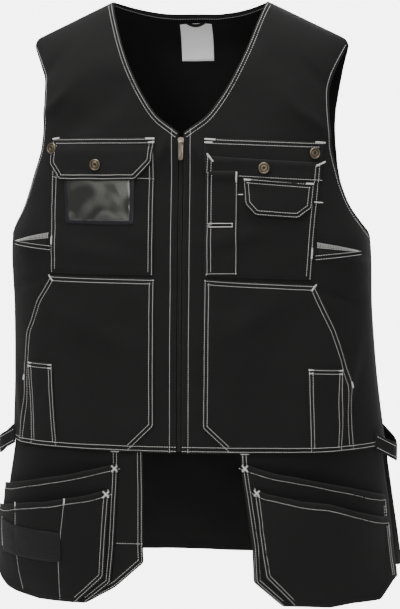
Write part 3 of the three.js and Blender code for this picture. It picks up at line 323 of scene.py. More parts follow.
def dense(points, spacing=3.0, closed=False):
    """Evenly spaced points along a line."""
    line = np.asarray(points, float)
    if closed:
        line = np.vstack([line, line[:1]])
    parts = []
    for a, b in zip(line[:-1], line[1:]):
        count = max(1, int(round(np.linalg.norm(b - a) / spacing)))
        parts.append(a + (b - a) * (np.arange(count)[:, None] / count))
    if not closed:
        parts.append(line[-1:])
    return np.vstack(parts)


def soften(points, passes=2, closed=False):
    """A line with its corners eased."""
    line = np.array(points, float)
    for _ in range(passes):
        before, after = np.roll(line, 1, 0), np.roll(line, -1, 0)
        eased = 0.5 * line + 0.25 * (before + after)
        if not closed:
            eased[0], eased[-1] = line[0], line[-1]
        line = eased
    return line


def spline(points, steps=6):
    """A smooth line through the points."""
    line = np.asarray(points, float)
    ends = np.vstack([2 * line[0] - line[1], line, 2 * line[-1] - line[-2]])
    parts = []
    for i in range(1, len(ends) - 2):
        p, q, r, s = ends[i - 1 : i + 3]
        t = (np.arange(steps) / steps)[:, None]
        square, cube = 2 * p - 5 * q + 4 * r - s, 3 * q - p - 3 * r + s
        parts.append(0.5 * (2 * q + (r - p) * t + square * t**2 + cube * t**3))
    return np.vstack([*parts, line[-1:]])


def area(outline):
    x, y = outline[:, 0], outline[:, 1]
    return 0.5 * float(np.sum(x * np.roll(y, -1) - np.roll(x, -1) * y))


def shifted(line, distance, closed=False):
    """A line moved to its left by a distance."""
    line = np.asarray(line, float)
    along = np.roll(line, -1, 0) - np.roll(line, 1, 0)
    if not closed:
        along[0], along[-1] = line[1] - line[0], line[-1] - line[-2]
    along /= np.maximum(np.linalg.norm(along, axis=1), 1e-9)[:, None]
    return line + distance * np.stack([-along[:, 1], along[:, 0]], 1)


# Points measured at a time
BATCH = 4000


def distance_to(points, line, closed=False):
    """Distance from each point to the nearest part of a line."""
    line = np.asarray(line, float)
    if closed:
        line = np.vstack([line, line[:1]])
    a, ab = line[:-1], line[1:] - line[:-1]
    lengths = np.maximum(np.sum(ab * ab, 1), 1e-12)
    nearest = np.empty(len(points))
    for start in range(0, len(points), BATCH):
        p = points[start : start + BATCH, None, :]
        t = np.clip(np.sum((p - a) * ab, 2) / lengths, 0, 1)
        gap = p - (a + t[..., None] * ab)
        nearest[start : start + BATCH] = np.sqrt(np.min(np.sum(gap * gap, 2), 1))
    return nearest


def inside(points, outline):
    """True for each point within an outline."""
    a, b = outline, np.roll(outline, -1, 0)
    found = np.zeros(len(points), bool)
    for start in range(0, len(points), BATCH):
        x, y = points[start : start + BATCH, 0, None], points[start : start + BATCH, 1, None]
        spans = (a[:, 1] > y) != (b[:, 1] > y)
        rise = np.where(b[:, 1] == a[:, 1], 1e-12, b[:, 1] - a[:, 1])
        crossing = a[:, 0] + (y - a[:, 1]) * (b[:, 0] - a[:, 0]) / rise
        found[start : start + BATCH] = np.sum(spans & (x < crossing), 1) % 2 == 1
    return found


def ramp(low, high, value):
    t = np.clip((value - low) / (high - low), 0, 1)
    return t * t * (3 - 2 * t)


LATTICE_SIDE, LATTICE_LAYERS, LATTICE_SEED = 64, 6, 11
LATTICE = np.random.default_rng(LATTICE_SEED).random((LATTICE_LAYERS, LATTICE_SIDE, LATTICE_SIDE)) * 2 - 1


def noise(a, b, size, layer):
    """Smooth irregularity from -1 to 1 over two lengths."""
    a, b = a / size, b / size
    i, j = np.floor(a).astype(int), np.floor(b).astype(int)
    s, t = a - i, b - j
    s, t = s * s * (3 - 2 * s), t * t * (3 - 2 * t)
    grid = LATTICE[layer]
    at = lambda m, n: grid[(i + m) % LATTICE_SIDE, (j + n) % LATTICE_SIDE]
    return (at(0, 0) * (1 - s) + at(1, 0) * s) * (1 - t) + (at(0, 1) * (1 - s) + at(1, 1) * s) * t


def flat(height):
    """A height that is the same everywhere."""
    return lambda places: np.full(len(places), height)


# The body's surface


def section_share(column, down):
    """A column of the sections' table at a share of the front length."""
    downs, values = SECTIONS[:, 0], SECTIONS[:, column]
    last = len(downs) - 1
    i = np.clip(np.searchsorted(downs, down, "right") - 1, 0, last - 1)
    span = downs[i + 1] - downs[i]
    t = (down - downs[i]) / span
    slope = lambda m, n: (values[n] - values[m]) / (downs[n] - downs[m])
    start = slope(np.maximum(i - 1, 0), i + 1) * span
    end = slope(i, np.minimum(i + 2, last)) * span
    a, b = values[i], values[i + 1]
    curve = (((2 * (a - b) + start + end) * t + 3 * (b - a) - 2 * start - end) * t + start) * t + a
    curve = np.where(down <= downs[0], values[0] + slope(0, 1) * (down - downs[0]), curve)
    return np.where(down >= downs[last], values[last] + slope(last - 1, last) * (down - downs[last]), curve)


def section(side, drop):
    """Half width and the two depths at a drop."""
    down = np.asarray(drop, float) / FRONT_LENGTH
    swing = HEM_SWING * np.maximum(0, (down - SWING_START) / (1 - SWING_START)) ** SWING_POWER
    half = CHEST_HALF_WIDTH * section_share(WIDTH_COLUMN, down) + np.where(side > 0, swing, 0)
    depths = {
        FRONT: FRONT_DEPTH * section_share(FRONT_COLUMN, down),
        BACK: BACK_DEPTH * section_share(BACK_COLUMN, down),
    }
    return half, depths


def ridge_drop(x):
    return SHOULDER_FALL * np.maximum(0, np.abs(x) - NECK_HALF_WIDTH) / SHOULDER_RUN


def powered(value, power):
    return np.sign(value) * np.abs(value) ** power


# Length along a middling section, against the share of its quarter turn
TURNS = np.linspace(0, 1, 2001)
ACROSS = CHEST_HALF_WIDTH * np.sin(TURNS * math.pi / 2) ** (2 / SQUARENESS)
FORWARD = FRONT_DEPTH * np.cos(TURNS * math.pi / 2) ** (2 / SQUARENESS)
ARC = np.concatenate([[0], np.cumsum(np.hypot(np.diff(ACROSS), np.diff(FORWARD)))])
ROLL_RUN = {FRONT: 190, BACK: 125}
FALL_RUN = {face: LENGTH[face] - ROUNDING[face] - ORIGIN_DROP for face in (FRONT, BACK)}


def level_at(face, v):
    rolled = v / ROLL_RUN[face]
    return np.where(rolled <= 1, rolled, 1 + (v - ROLL_RUN[face]) / FALL_RUN[face])


def body_place(face, u, v):
    """A point of the plain body, from lengths across and down its cloth."""
    side = np.where(u < 0, -1, 1)
    angle = np.interp(np.abs(u), ARC, TURNS) * math.pi / 2
    level = level_at(face, v)
    roll = np.minimum(1, level) * math.pi / 2
    rounding = ROUNDING[face]
    across, along = powered(np.sin(angle), 2 / SQUARENESS), powered(np.cos(angle), 2 / SQUARENESS)
    x = np.zeros_like(u)
    for _ in range(4):
        ridge = ridge_drop(x)
        lower = ridge + rounding + (level - 1) * (LENGTH[face] - ridge - rounding)
        drop = np.where(level <= 1, ridge + rounding * (1 - np.cos(roll)), lower)
        half, depths = section(side, drop)
        x = half * across
    y = face * (depths[face] * along * np.sin(roll) + SEAM_GAP / 2)
    return np.stack([side * x, y, ORIGIN_DROP - drop], 1)


def fold_height(points, folds):
    """Height of folds on the front."""
    x, drop = points[:, 0], ORIGIN_DROP - points[:, 2]
    height = np.zeros(len(points))
    for across, down, tilt, length, width, tall in folds:
        angle = math.radians(tilt)
        dx = x - across * CHEST_HALF_WIDTH
        dz = down * FRONT_LENGTH - drop
        along = (dx * math.cos(angle) + dz * math.sin(angle)) / (length * FRONT_LENGTH)
        off = (dz * math.cos(angle) - dx * math.sin(angle)) / (width * FRONT_LENGTH)
        height += tall * FRONT_LENGTH * np.exp(-along * along - off * off)
    return height


def edge_fade(points):
    """Folds die out at the side seams and the shoulder."""
    return np.clip((np.abs(points[:, 1]) - FRONT_DEPTH / 5) / (FRONT_DEPTH / 3), 0, 1)


def unrest(points, layer):
    """The soft unevenness of cloth that is worn."""
    x, z = points[:, 0], points[:, 2]
    broad = noise(x + 400, z + 900 + 0.4 * x, 95, layer)
    middling = noise(x + 300 + 0.3 * z, z + 1200, 38, layer + 1)
    fine = noise(x + 500 - 0.5 * z, z + 1500 + 0.4 * x, 17, layer + 2)
    return 1.3 * broad + 0.5 * middling + 0.16 * fine


def normals_of(place, face, u, v, step=0.6):
    across = place(u + step, v) - place(u - step, v)
    down = place(u, v + step) - place(u, v - step)
    normals = face * np.cross(across, down)
    return normals / np.maximum(np.linalg.norm(normals, axis=1), 1e-12)[:, None]


class Skin:
    """A surface that cloth lies on: its plain form, the way that it faces and its folds."""

    def __init__(self, plain, face, relief):
        self.plain, self.face, self.relief = plain, face, relief

    def place(self, u, v):
        points = self.plain(u, v)
        return points + normals_of(self.plain, self.face, u, v) * self.relief(points, u, v)[:, None]

    def frame(self, uv):
        u, v = uv[:, 0], uv[:, 1]
        return self.place(u, v), normals_of(self.place, self.face, u, v)


def front_relief(points, u, v):
    small = sizes().creasing * (fold_height(points, CREASES) + unrest(points, 0))
    return (fold_height(points, FOLDS) + small) * edge_fade(points)


def back_relief(points, u, v):
    return 1.5 * sizes().creasing * unrest(points, 3) * edge_fade(points)


SKIN = {
    FRONT: Skin(lambda u, v: body_place(FRONT, u, v), FRONT, front_relief),
    BACK: Skin(lambda u, v: body_place(BACK, u, v), BACK, back_relief),
}


def turn_length(side, share):
    """Signed length across for a share of the half width."""
    turn = np.arcsin(np.clip(share, 0, 1) ** (SQUARENESS / 2)) * 2 / math.pi
    return side * np.interp(turn, TURNS, ARC)


def fall_length(face, ridge, drop):
    """Length down the cloth for a drop below the shoulder line."""
    rounding = ROUNDING[face]
    rolled = np.arccos(np.clip(1 - (drop - ridge) / rounding, 0, 1)) * 2 / math.pi * ROLL_RUN[face]
    fallen = (drop - ridge - rounding) / (LENGTH[face] - ridge - rounding)
    return np.where(drop <= ridge + rounding, rolled, ROLL_RUN[face] + fallen * FALL_RUN[face])


def from_front(line, face=FRONT):
    """Lengths on the cloth for points given as x and drop."""
    line = np.asarray(line, float)
    x, drop = line[:, 0], line[:, 1]
    side = np.where(x < 0, -1, 1)
    half, _ = section(side, drop)
    return np.stack([turn_length(side, np.abs(x) / half), fall_length(face, ridge_drop(x), drop)], 1)


def from_side(line, face, side):
    """Lengths on the cloth for points given as distance from the shoulder line and drop."""
    line = np.asarray(line, float)
    reach, drop = line[:, 0], line[:, 1]
    half, depths = section(side, drop)
    x = np.full(len(line), 0.85 * CHEST_HALF_WIDTH)
    for _ in range(12):
        roll = np.arccos(np.clip(1 - (drop - ridge_drop(x)) / ROUNDING[face], 0, 0.9999))
        share = np.clip(reach / np.maximum(depths[face] * np.sin(roll), 1e-6), 0, 1)
        x = 0.5 * x + 0.5 * half * (1 - share**SQUARENESS) ** (1 / SQUARENESS)
    return np.stack([turn_length(side, x / half), fall_length(face, ridge_drop(x), drop)], 1)


def from_above(line):
    """Lengths on the back's cloth for points given as x and distance behind the shoulder line."""
    line = np.asarray(line, float)
    x, reach = line[:, 0], line[:, 1]
    side = np.where(x < 0, -1, 1)
    drop = ridge_drop(x)
    for _ in range(12):
        half, depths = section(side, drop)
        flat = (1 - np.clip(np.abs(x) / half, 0, 1) ** SQUARENESS) ** (1 / SQUARENESS)
        sine = np.clip((reach - SEAM_GAP / 2) / (depths[BACK] * flat), 0, 1)
        drop = ridge_drop(x) + ROUNDING[BACK] * (1 - np.sqrt(1 - sine * sine))
    return np.stack([turn_length(side, np.abs(x) / half), fall_length(BACK, ridge_drop(x), drop)], 1)


# Holster surface


def holster_section(side, below):
    """Half width and the two depths at a height below the hem."""
    half, depths = section(side, FRONT_LENGTH + np.minimum(0, below))
    return half + HOLSTER_SPLAY * np.maximum(0, below) / HOLSTER_LENGTH, depths


def holster_place(side, u, below):
    """A point of a holster's plain sheet, from a length across and a height below the hem."""
    angle = np.interp(np.abs(u), ARC, TURNS) * math.pi / 2
    half, depths = holster_section(side, below)
    x = side * half * powered(np.sin(angle), 2 / SQUARENESS)
    y = -depths[FRONT] * powered(np.cos(angle), 2 / SQUARENESS) - SEAM_GAP / 2
    return np.stack([x, y, ORIGIN_DROP - FRONT_LENGTH - below], 1)


def holster_relief(points, u, below):
    hem = points.copy()
    hem[:, 2] = np.maximum(points[:, 2], ORIGIN_DROP - FRONT_LENGTH)
    upper = fold_height(hem, FOLDS) * edge_fade(hem) * (1 - np.clip(below / HOLSTER_LENGTH, 0, 1))
    hung = ramp(0, 60, below)
    return upper + hung * sizes().creasing * 0.9 * unrest(points, 2)


def holster_skin(side):
    return Skin(lambda u, v: holster_place(side, u, v), FRONT, holster_relief)


HOLSTER_SKIN = {side: holster_skin(side) for side in (RIGHT, LEFT)}


def from_holster(line, side, last_turn):
    """Lengths on a holster for points given as x and drop, held within its last turn."""
    line = np.asarray(line, float)
    below = line[:, 1] - FRONT_LENGTH
    half, _ = holster_section(side, below)
    length = turn_length(1, np.abs(line[:, 0]) / half)
    return np.stack([side * np.minimum(length, np.interp(last_turn, TURNS, ARC)), below], 1)


def gape(points, depth, mouth):
    """How far a holster's pocket stands open."""
    across = np.clip((np.abs(points[:, 0]) - HOLSTER_INSET) / HOLSTER_WIDTH, 0, 1)
    below = ORIGIN_DROP - FRONT_LENGTH - points[:, 2]
    down = np.clip((below - mouth) / (HOLSTER_LENGTH - mouth), 0, 1)
    return depth * np.sin(math.pi * across) * (1 - down * down)


# Cloth


class Cloth:
    """A piece of cloth on a skin, with its seams drawn in and its edges turned under."""

    def __init__(self, skin, outline, thickness, below=(), base=None, seams=(), holes=(), puff=0.0, rise=None,
                 hem=SECOND_STITCH + 1.2, mesh=1.0, turned_edge=0.45):
        self.skin, self.thickness, self.below, self.base = skin, thickness, list(below), base
        self.puff, self.rise, self.hem, self.turned_edge = puff, rise, hem, turned_edge
        self.spacing = sizes().mesh_size / MM * mesh
        outline = dense(outline, 3.2, closed=True)
        self.outline = outline if area(outline) > 0 else outline[::-1]
        self.seams = [dense(s, 3.0) for s in seams]
        self.holes = [dense(h, 2.5, closed=True) for h in holes]

    def depth_in(self, uv):
        """Distance in from the outline; less than 0 outside it."""
        gap = distance_to(uv, self.outline, closed=True)
        return np.where(inside(uv, self.outline), gap, -gap)

    def seam_distance(self, uv):
        gap = np.full(len(uv), FAR)
        for seam in self.seams:
            gap = np.minimum(gap, distance_to(uv, seam))
        return gap

    def floor(self, uv):
        """Height of what the piece lies on."""
        height = np.zeros(len(uv))
        if self.base is not None:
            points, _ = self.skin.frame(uv)
            height = self.base(points)
        for other in self.below:
            cover = ramp(-3.5, 0.0, other.depth_in(uv))
            reach = other.height(uv) * cover
            height = np.maximum(height, np.where(cover > 0, reach, height))
        return height

    def height(self, uv):
        """Height of the piece's face."""
        edge = np.maximum(self.depth_in(uv), 0)
        seam = self.seam_distance(uv)
        pull = sizes().puckering / MM
        height = self.floor(uv) + (GAP if self.below else 0) + self.thickness
        height += self.puff * (1 - np.exp(-edge / PUFF_RUN))
        height += self.turned_edge * (1 - ramp(self.hem - 1, self.hem + 1, edge))
        height -= pull * np.exp(-((seam / SEAM_GROOVE) ** 2))
        ripple = noise(uv[:, 0] + 900, uv[:, 1] + 900, PUCKER_SIZE, 4)
        height += 0.8 * pull * ripple * np.exp(-((seam / PUCKER_REACH) ** 2))
        if self.rise is not None:
            height += self.rise(uv)
        return height

    def on_face(self, line, lift=0.0):
        """Points and directions on the piece's face."""
        uv = np.asarray(line, float)
        points, normals = self.skin.frame(uv)
        return points + normals * (self.height(uv) + lift)[:, None], normals

    def points(self):
        """Points of the piece's mesh: its outline, along its seams, and between them."""
        flanks = []
        for seam in self.seams:
            flanks += [seam, shifted(seam, FLANK), shifted(seam, -FLANK)]
        for hole in self.holes:
            flanks.append(shifted(hole, -1.5, closed=True))
        kept = np.vstack([self.outline, *self.holes])
        if flanks:
            flank = np.vstack(flanks)
            flank = flank[inside(flank, self.outline) & (distance_to(flank, self.outline, True) > 0.8)]
            if len(flank):
                kept = np.vstack([kept, thinned(flank, 1.1)])
        low, high = self.outline.min(0), self.outline.max(0)
        rows = np.arange(low[1], high[1], self.spacing * ROW_SHARE)
        columns = np.arange(low[0], high[0], self.spacing)
        shift = self.spacing / 2
        grid = np.array([(c + (r % 2) * shift, row) for r, row in enumerate(rows) for c in columns])
        clear = distance_to(grid, self.outline, True) > EDGE_SHARE * self.spacing
        grid = grid[inside(grid, self.outline) & clear]
        if flanks and len(grid):
            close = np.full(len(grid), False)
            for seam in self.seams:
                close |= distance_to(grid, seam) < FLANK + SEAM_SHARE * self.spacing
            grid = grid[~close]
        return np.vstack([kept, grid]) if len(grid) else kept

    def build(self, name, node, slot, material, inner=None):
        """Makes the closed piece in place of its node."""
        uv = self.points()
        rim = len(self.outline)
        loops = [list(range(rim))]
        edges = [(i, (i + 1) % rim) for i in range(rim)]
        start = rim
        for hole in self.holes:
            edges += [(start + i, start + (i + 1) % len(hole)) for i in range(len(hole))]
            start += len(hole)
        verts, _, faces, _, _, _ = delaunay_2d_cdt([Vector(p) for p in uv], edges, loops, 1, 1e-5)
        uv = np.array([tuple(p) for p in verts])
        tris = np.array([f for f in faces if len(f) == 3])
        for hole in self.holes:
            tris = tris[~inside(uv[tris].mean(1), hole)]
        used = np.unique(tris)
        index = np.full(len(uv), -1)
        index[used] = np.arange(len(used))
        uv, tris = uv[used], index[tris]
        if self.skin.face < 0:
            tris = tris[:, ::-1]
        points, normals = self.skin.frame(uv)
        high = self.height(uv)
        low = inner(uv) if inner else self.floor(uv) + (GAP if self.below else 0)
        low = np.minimum(low, high - 0.4)
        return closed_cloth(name, node, material, uv, tris, points, normals, high, low, self)


def thinned(points, gap):
    """Points with those too close to an earlier one left out."""
    cells, kept = set(), []
    for p in points:
        cell = (int(p[0] // gap), int(p[1] // gap))
        if any((cell[0] + i, cell[1] + j) in cells for i in (-1, 0, 1) for j in (-1, 0, 1)):
            continue
        cells.add(cell)
        kept.append(p)
    return np.array(kept)


def closed_cloth(name, node, material, uv, tris, points, normals, high, low, cloth):
    """A shell between two heights, with a rounded rim."""
    count = len(uv)
    pairs = np.vstack([tris[:, [0, 1]], tris[:, [1, 2]], tris[:, [2, 0]]])
    key = pairs[:, 0] * count + pairs[:, 1]
    back = pairs[:, 1] * count + pairs[:, 0]
    border = pairs[~np.isin(key, back)]
    outer = points + normals * high[:, None]
    lower = points + normals * low[:, None]
    sideways = np.zeros_like(points)
    along = points[border[:, 1]] - points[border[:, 0]]
    out = np.cross(along, normals[border[:, 0]])
    np.add.at(sideways, border[:, 0], out)
    np.add.at(sideways, border[:, 1], out)
    rim = np.unique(border)
    away = sideways[rim] / np.maximum(np.linalg.norm(sideways[rim], axis=1), 1e-9)[:, None]
    thick = np.minimum((high - low)[rim, None], RIM_LIMIT)
    middle = (outer[rim] + lower[rim]) / 2 + away * RIM_BULGE * thick
    outer[rim] -= normals[rim] * UPPER_EASE * thick
    lower[rim] += normals[rim] * LOWER_EASE * thick
    at = np.full(count, -1)
    at[rim] = 2 * count + np.arange(len(rim))
    a, b = border[:, 0], border[:, 1]
    faces = [tuple(t) for t in tris] + [tuple(t[::-1] + count) for t in tris]
    faces += [tuple(q) for q in np.stack([b, a, at[a], at[b]], 1)]
    faces += [tuple(q) for q in np.stack([at[b], at[a], a + count, b + count], 1)]
    whole = np.vstack([outer, lower, middle])
    places = np.vstack([uv, uv, uv[rim]])
    edge = np.maximum(cloth.depth_in(uv), 0)
    seam = cloth.seam_distance(uv)
    obj = mesh_object(name, whole, faces)
    add_floats(obj, "edge", np.concatenate([edge, edge, edge[rim]]))
    add_floats(obj, "seam", np.concatenate([seam, seam, seam[rim]]))
    add_uv(obj, places * MM)
    return finish_piece(obj, node, material)


def add_object(name, data):
    obj = bpy.data.objects.new(name, data)
    bpy.context.scene.collection.objects.link(obj)
    return obj


def mesh_object(name, points, faces, edges=()):
    mesh = bpy.data.meshes.new(name)
    corners = [[int(i) for i in face] for face in faces]
    mesh.from_pydata([tuple(p) for p in np.asarray(points) * MM], list(edges), corners)
    mesh.update()
    return add_object(name, mesh)


def add_floats(obj, name, values):
    layer = obj.data.attributes.new(name, "FLOAT", "POINT")
    layer.data.foreach_set("value", np.asarray(values, np.float32))


def add_uv(obj, places):
    layer = obj.data.uv_layers.new(name="cloth")
    corners = np.zeros(len(obj.data.loops), int)
    obj.data.loops.foreach_get("vertex_index", corners)
    layer.data.foreach_set("uv", np.asarray(places, np.float32)[corners].ravel())


def finish_piece(obj, node, material, body="vest"):
    """Smooth shading, its material, and its place in the frame."""
    obj.data.materials.clear()
    obj.data.materials.append(material)
    obj.data.shade_smooth()
    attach(obj, body)
    if node:
        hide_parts(node)
    return obj


# Materials


def new_material(name):
    material = bpy.data.materials.new(name)
    material.use_nodes = True
    nodes = material.node_tree.nodes
    return material, nodes, need(nodes.get("Principled BSDF"), "no surface shader")


def join(source, target):
    """Links one node's socket to another's."""
    source.id_data.links.new(source, target)


def adjust(shader, **values):
    """Sets a shader's plain inputs."""
    for label, value in values.items():
        shader.inputs[label.replace("_", " ")].default_value = value


def add_node(nodes, kind, **values):
    """A node with its settings and its unlinked inputs."""
    node = nodes.new(kind)
    for key, value in values.items():
        if hasattr(node, key):
            setattr(node, key, value)
        else:
            node.inputs[key.replace("_", " ")].default_value = value
    return node


def maths(nodes, operation, first, second=None, third=None):
    """A maths node; each value is a number or a socket."""
    node = nodes.new("ShaderNodeMath")
    node.operation = operation
    for socket, value in zip(node.inputs, (first, second, third)):
        if value is None:
            continue
        if isinstance(value, (int, float)):
            socket.default_value = value
        else:
            join(value, socket)
    return node.outputs[0]


def tint(nodes, shader, factor, dark, light):
    """Colours a surface between two colours."""
    mix = add_node(nodes, "ShaderNodeMix", data_type="RGBA")
    mix.inputs["A"].default_value = (*dark, 1)
    mix.inputs["B"].default_value = (*light, 1)
    join(factor, mix.inputs["Factor"])
    join(mix.outputs["Result"], shader.inputs["Base Color"])


def texture(nodes, scale, detail, place=None, kind="ShaderNodeTexNoise", **values):
    """An irregular pattern over a place, or over the piece's own space."""
    node = add_node(nodes, kind, Scale=scale, **({"Detail": detail} if detail else {}), **values)
    if place is None:
        place = nodes.new("ShaderNodeTexCoord").outputs["Object"]
    join(place, node.inputs["Vector"])
    return node


def ripples(nodes, place, rate):
    """Even ripples along a place."""
    return maths(nodes, "SINE", maths(nodes, "MULTIPLY", place, rate))


def clamped(nodes, value):
    """A value held from 0 to 1."""
    clamp = nodes.new("ShaderNodeClamp")
    join(value, clamp.inputs[0])
    return clamp.outputs[0]


def roughen(nodes, shader, pattern, spread, least):
    """Roughness that follows a pattern."""
    join(maths(nodes, "MULTIPLY_ADD", pattern, spread, least), shader.inputs["Roughness"])


def emboss(nodes, shader, height, strength, distance):
    """Fine relief in the surface."""
    relief = add_node(nodes, "ShaderNodeBump", Strength=strength, Distance=distance)
    join(height, relief.inputs["Height"])
    join(relief.outputs[0], shader.inputs["Normal"])


def scaled(colour, share):
    """A lighter or darker form of a colour."""
    return [min(1, share * c) for c in colour]


def new_group(name, inputs, outputs):
    """An empty shader group with named sockets."""
    tree = bpy.data.node_groups.new(name, "ShaderNodeTree")
    for label, kind, default in inputs:
        socket = tree.interface.new_socket(name=label, in_out="INPUT", socket_type=kind)
        if default is not None:
            socket.default_value = default
    for label, kind in outputs:
        tree.interface.new_socket(name=label, in_out="OUTPUT", socket_type=kind)
    return tree, tree.nodes.new("NodeGroupInput"), tree.nodes.new("NodeGroupOutput")


def twill_group():
    """Diagonal ribs of thread, as height and as shade."""
    if "Twill weave" in bpy.data.node_groups:
        return bpy.data.node_groups["Twill weave"]
    tree, source, sink = new_group(
        "Twill weave",
        [
            ("Place", "NodeSocketVector", None), ("Rib", "NodeSocketFloat", 0.0011),
            ("Slub", "NodeSocketFloat", 0.35),
        ],
        [("Height", "NodeSocketFloat"), ("Shade", "NodeSocketFloat")],
    )
    nodes = tree.nodes
    split = nodes.new("ShaderNodeSeparateXYZ")
    join(source.outputs["Place"], split.inputs[0])
    rate = maths(nodes, "DIVIDE", 2 * math.pi, source.outputs["Rib"])
    diagonal = maths(nodes, "ADD", split.outputs[0], split.outputs[1])
    cross = maths(nodes, "SUBTRACT", split.outputs[0], split.outputs[1])
    rib = ripples(nodes, diagonal, rate)
    bumpy = maths(nodes, "MULTIPLY_ADD", ripples(nodes, cross, rate), 0.35, rib)
    slub = texture(nodes, 420.0, 3.0, source.outputs["Place"])
    uneven = maths(nodes, "MULTIPLY", slub.outputs[0], source.outputs["Slub"])
    height = maths(nodes, "ADD", bumpy, uneven)
    join(height, sink.inputs["Height"])
    join(maths(nodes, "MULTIPLY_ADD", height, 0.3, 0.5), sink.inputs["Shade"])
    return tree


def wear_group():
    """Fading along the edges and seams, and soft mottling."""
    if "Cloth wear" in bpy.data.node_groups:
        return bpy.data.node_groups["Cloth wear"]
    tree, source, sink = new_group(
        "Cloth wear",
        [
            ("Place", "NodeSocketVector", None), ("Edge", "NodeSocketFloat", FAR),
            ("Seam", "NodeSocketFloat", FAR), ("Amount", "NodeSocketFloat", 0.5),
        ],
        [("Wear", "NodeSocketFloat"), ("Mottle", "NodeSocketFloat")],
    )
    nodes = tree.nodes
    broad = texture(nodes, 9.0, 4.0, source.outputs["Place"])
    rough = texture(nodes, 160.0, 5.0, source.outputs["Place"])

    def fading(label, rate):
        power = maths(nodes, "MULTIPLY", source.outputs[label], rate)
        return maths(nodes, "POWER", 2.718, power)

    rim, ridge = fading("Edge", -0.9), fading("Seam", -0.45)
    rubbed = maths(nodes, "MULTIPLY_ADD", ridge, 0.35, rim)
    patchy = maths(nodes, "MULTIPLY_ADD", rough.outputs[0], 1.6, -0.2)
    broken = maths(nodes, "MULTIPLY", rubbed, patchy)
    worn = maths(nodes, "MULTIPLY", broken, source.outputs["Amount"])
    join(clamped(nodes, worn), sink.inputs["Wear"])
    fine = maths(nodes, "MULTIPLY", rough.outputs[0], 0.3)
    mottle = maths(nodes, "MULTIPLY_ADD", broad.outputs[0], 0.7, fine)
    join(mottle, sink.inputs["Mottle"])
    return tree


def cloth_material(name, plain, faded, rib, wear=0.5, roughness=0.86, bump=0.35, sheen=0.03, depth=0.3):
    """Woven cloth that is a little rubbed along its edges and seams."""
    material, nodes, shader = new_material(name)
    place = add_node(nodes, "ShaderNodeUVMap", uv_map="cloth")
    weave = nodes.new("ShaderNodeGroup")
    weave.node_tree = twill_group()
    weave.inputs["Rib"].default_value = rib
    join(place.outputs[0], weave.inputs["Place"])
    rub = nodes.new("ShaderNodeGroup")
    rub.node_tree = wear_group()
    rub.inputs["Amount"].default_value = wear
    coordinates = nodes.new("ShaderNodeTexCoord")
    join(coordinates.outputs["Object"], rub.inputs["Place"])
    for label, socket in (("edge", "Edge"), ("seam", "Seam")):
        attribute = add_node(nodes, "ShaderNodeAttribute", attribute_name=label)
        join(attribute.outputs["Fac"], rub.inputs[socket])
    # The base colour runs between darker and lighter copies of the cloth: painted shade in the twill's grooves
    # and painted highlight on its ribs, with random mottling.
    base = add_node(nodes, "ShaderNodeMix", data_type="RGBA")
    base.inputs["A"].default_value = (*scaled(plain, 1 - depth), 1)
    base.inputs["B"].default_value = (*scaled(plain, 1 + depth), 1)
    mottled = maths(nodes, "MULTIPLY", rub.outputs["Mottle"], 0.6)
    painted_rib_shade_and_mottle = maths(nodes, "MULTIPLY_ADD", weave.outputs["Shade"], 0.4, mottled)
    join(painted_rib_shade_and_mottle, base.inputs["Factor"])
    worn = add_node(nodes, "ShaderNodeMix", data_type="RGBA")
    worn.inputs["B"].default_value = (*faded, 1)
    join(base.outputs["Result"], worn.inputs["A"])
    join(rub.outputs["Wear"], worn.inputs["Factor"])
    join(worn.outputs["Result"], shader.inputs["Base Color"])
    roughen(nodes, shader, rub.outputs["Mottle"], 0.14, roughness - 0.07)
    emboss(nodes, shader, weave.outputs["Height"], bump, 0.00022)
    adjust(shader, Sheen_Weight=sheen, Sheen_Roughness=0.45, Specular_IOR_Level=0.18)
    return material


def metal_material(name, colour, dark, roughness):
    """Cast metal, darker in its hollows and scuffed."""
    material, nodes, shader = new_material(name)
    grain, patch = texture(nodes, 900.0, 4.0), texture(nodes, 260.0, 3.0)
    hollow = add_node(nodes, "ShaderNodeAttribute", attribute_name="hollow")
    sunk = maths(nodes, "ADD", hollow.outputs["Fac"], -0.2)
    shade = maths(nodes, "MULTIPLY_ADD", patch.outputs[0], 0.5, sunk)
    tint(nodes, shader, clamped(nodes, shade), colour, dark)
    roughen(nodes, shader, grain.outputs[0], 0.3, roughness - 0.15)
    emboss(nodes, shader, grain.outputs[0], 0.25, 0.0001)
    adjust(shader, Metallic=1.0)
    return material


def thread_material():
    """Thick twisted thread."""
    material, nodes, shader = new_material("Off-white thread")
    twist = add_node(nodes, "ShaderNodeAttribute", attribute_name="twist")
    wound = ripples(nodes, twist.outputs["Fac"], 2 * math.pi)
    soil = texture(nodes, 60.0, 3.0)
    # The colour is darker in the grooves of the twist, as painted shade, with random soiling.
    shade = maths(nodes, "MULTIPLY_ADD", wound, 0.25, soil.outputs[0])
    tint(nodes, shader, shade, scaled(colours().thread, 0.8), colours().thread)
    roughen(nodes, shader, soil.outputs[0], 0.2, 0.5)
    emboss(nodes, shader, wound, 0.4, 0.0001)
    adjust(shader, Sheen_Weight=0.2)
    return material


def film_material():
    """Clear soft film that lies in waves and catches the light, with streaks of reflection also painted into
    its colour.
    """
    material, nodes, shader = new_material("Clear film")
    wave = texture(nodes, 30.0, 0.6, Distortion=1.2)
    # Bright and dark streaks in the film's colour follow the waves: painted reflection.
    painted_streaks = clamped(nodes, maths(nodes, "MULTIPLY_ADD", wave.outputs[0], 3.4, -1.2))
    tint(nodes, shader, painted_streaks, scaled(colours().film, 0.2), scaled(colours().film, 2.2))
    roughen(nodes, shader, wave.outputs[0], 0.12, 0.06)
    join(maths(nodes, "MULTIPLY_ADD", wave.outputs[0], 0.3, 0.6), shader.inputs["Alpha"])
    emboss(nodes, shader, wave.outputs[0], 0.5, 0.003)
    adjust(shader, Coat_Weight=0.6)
    return material


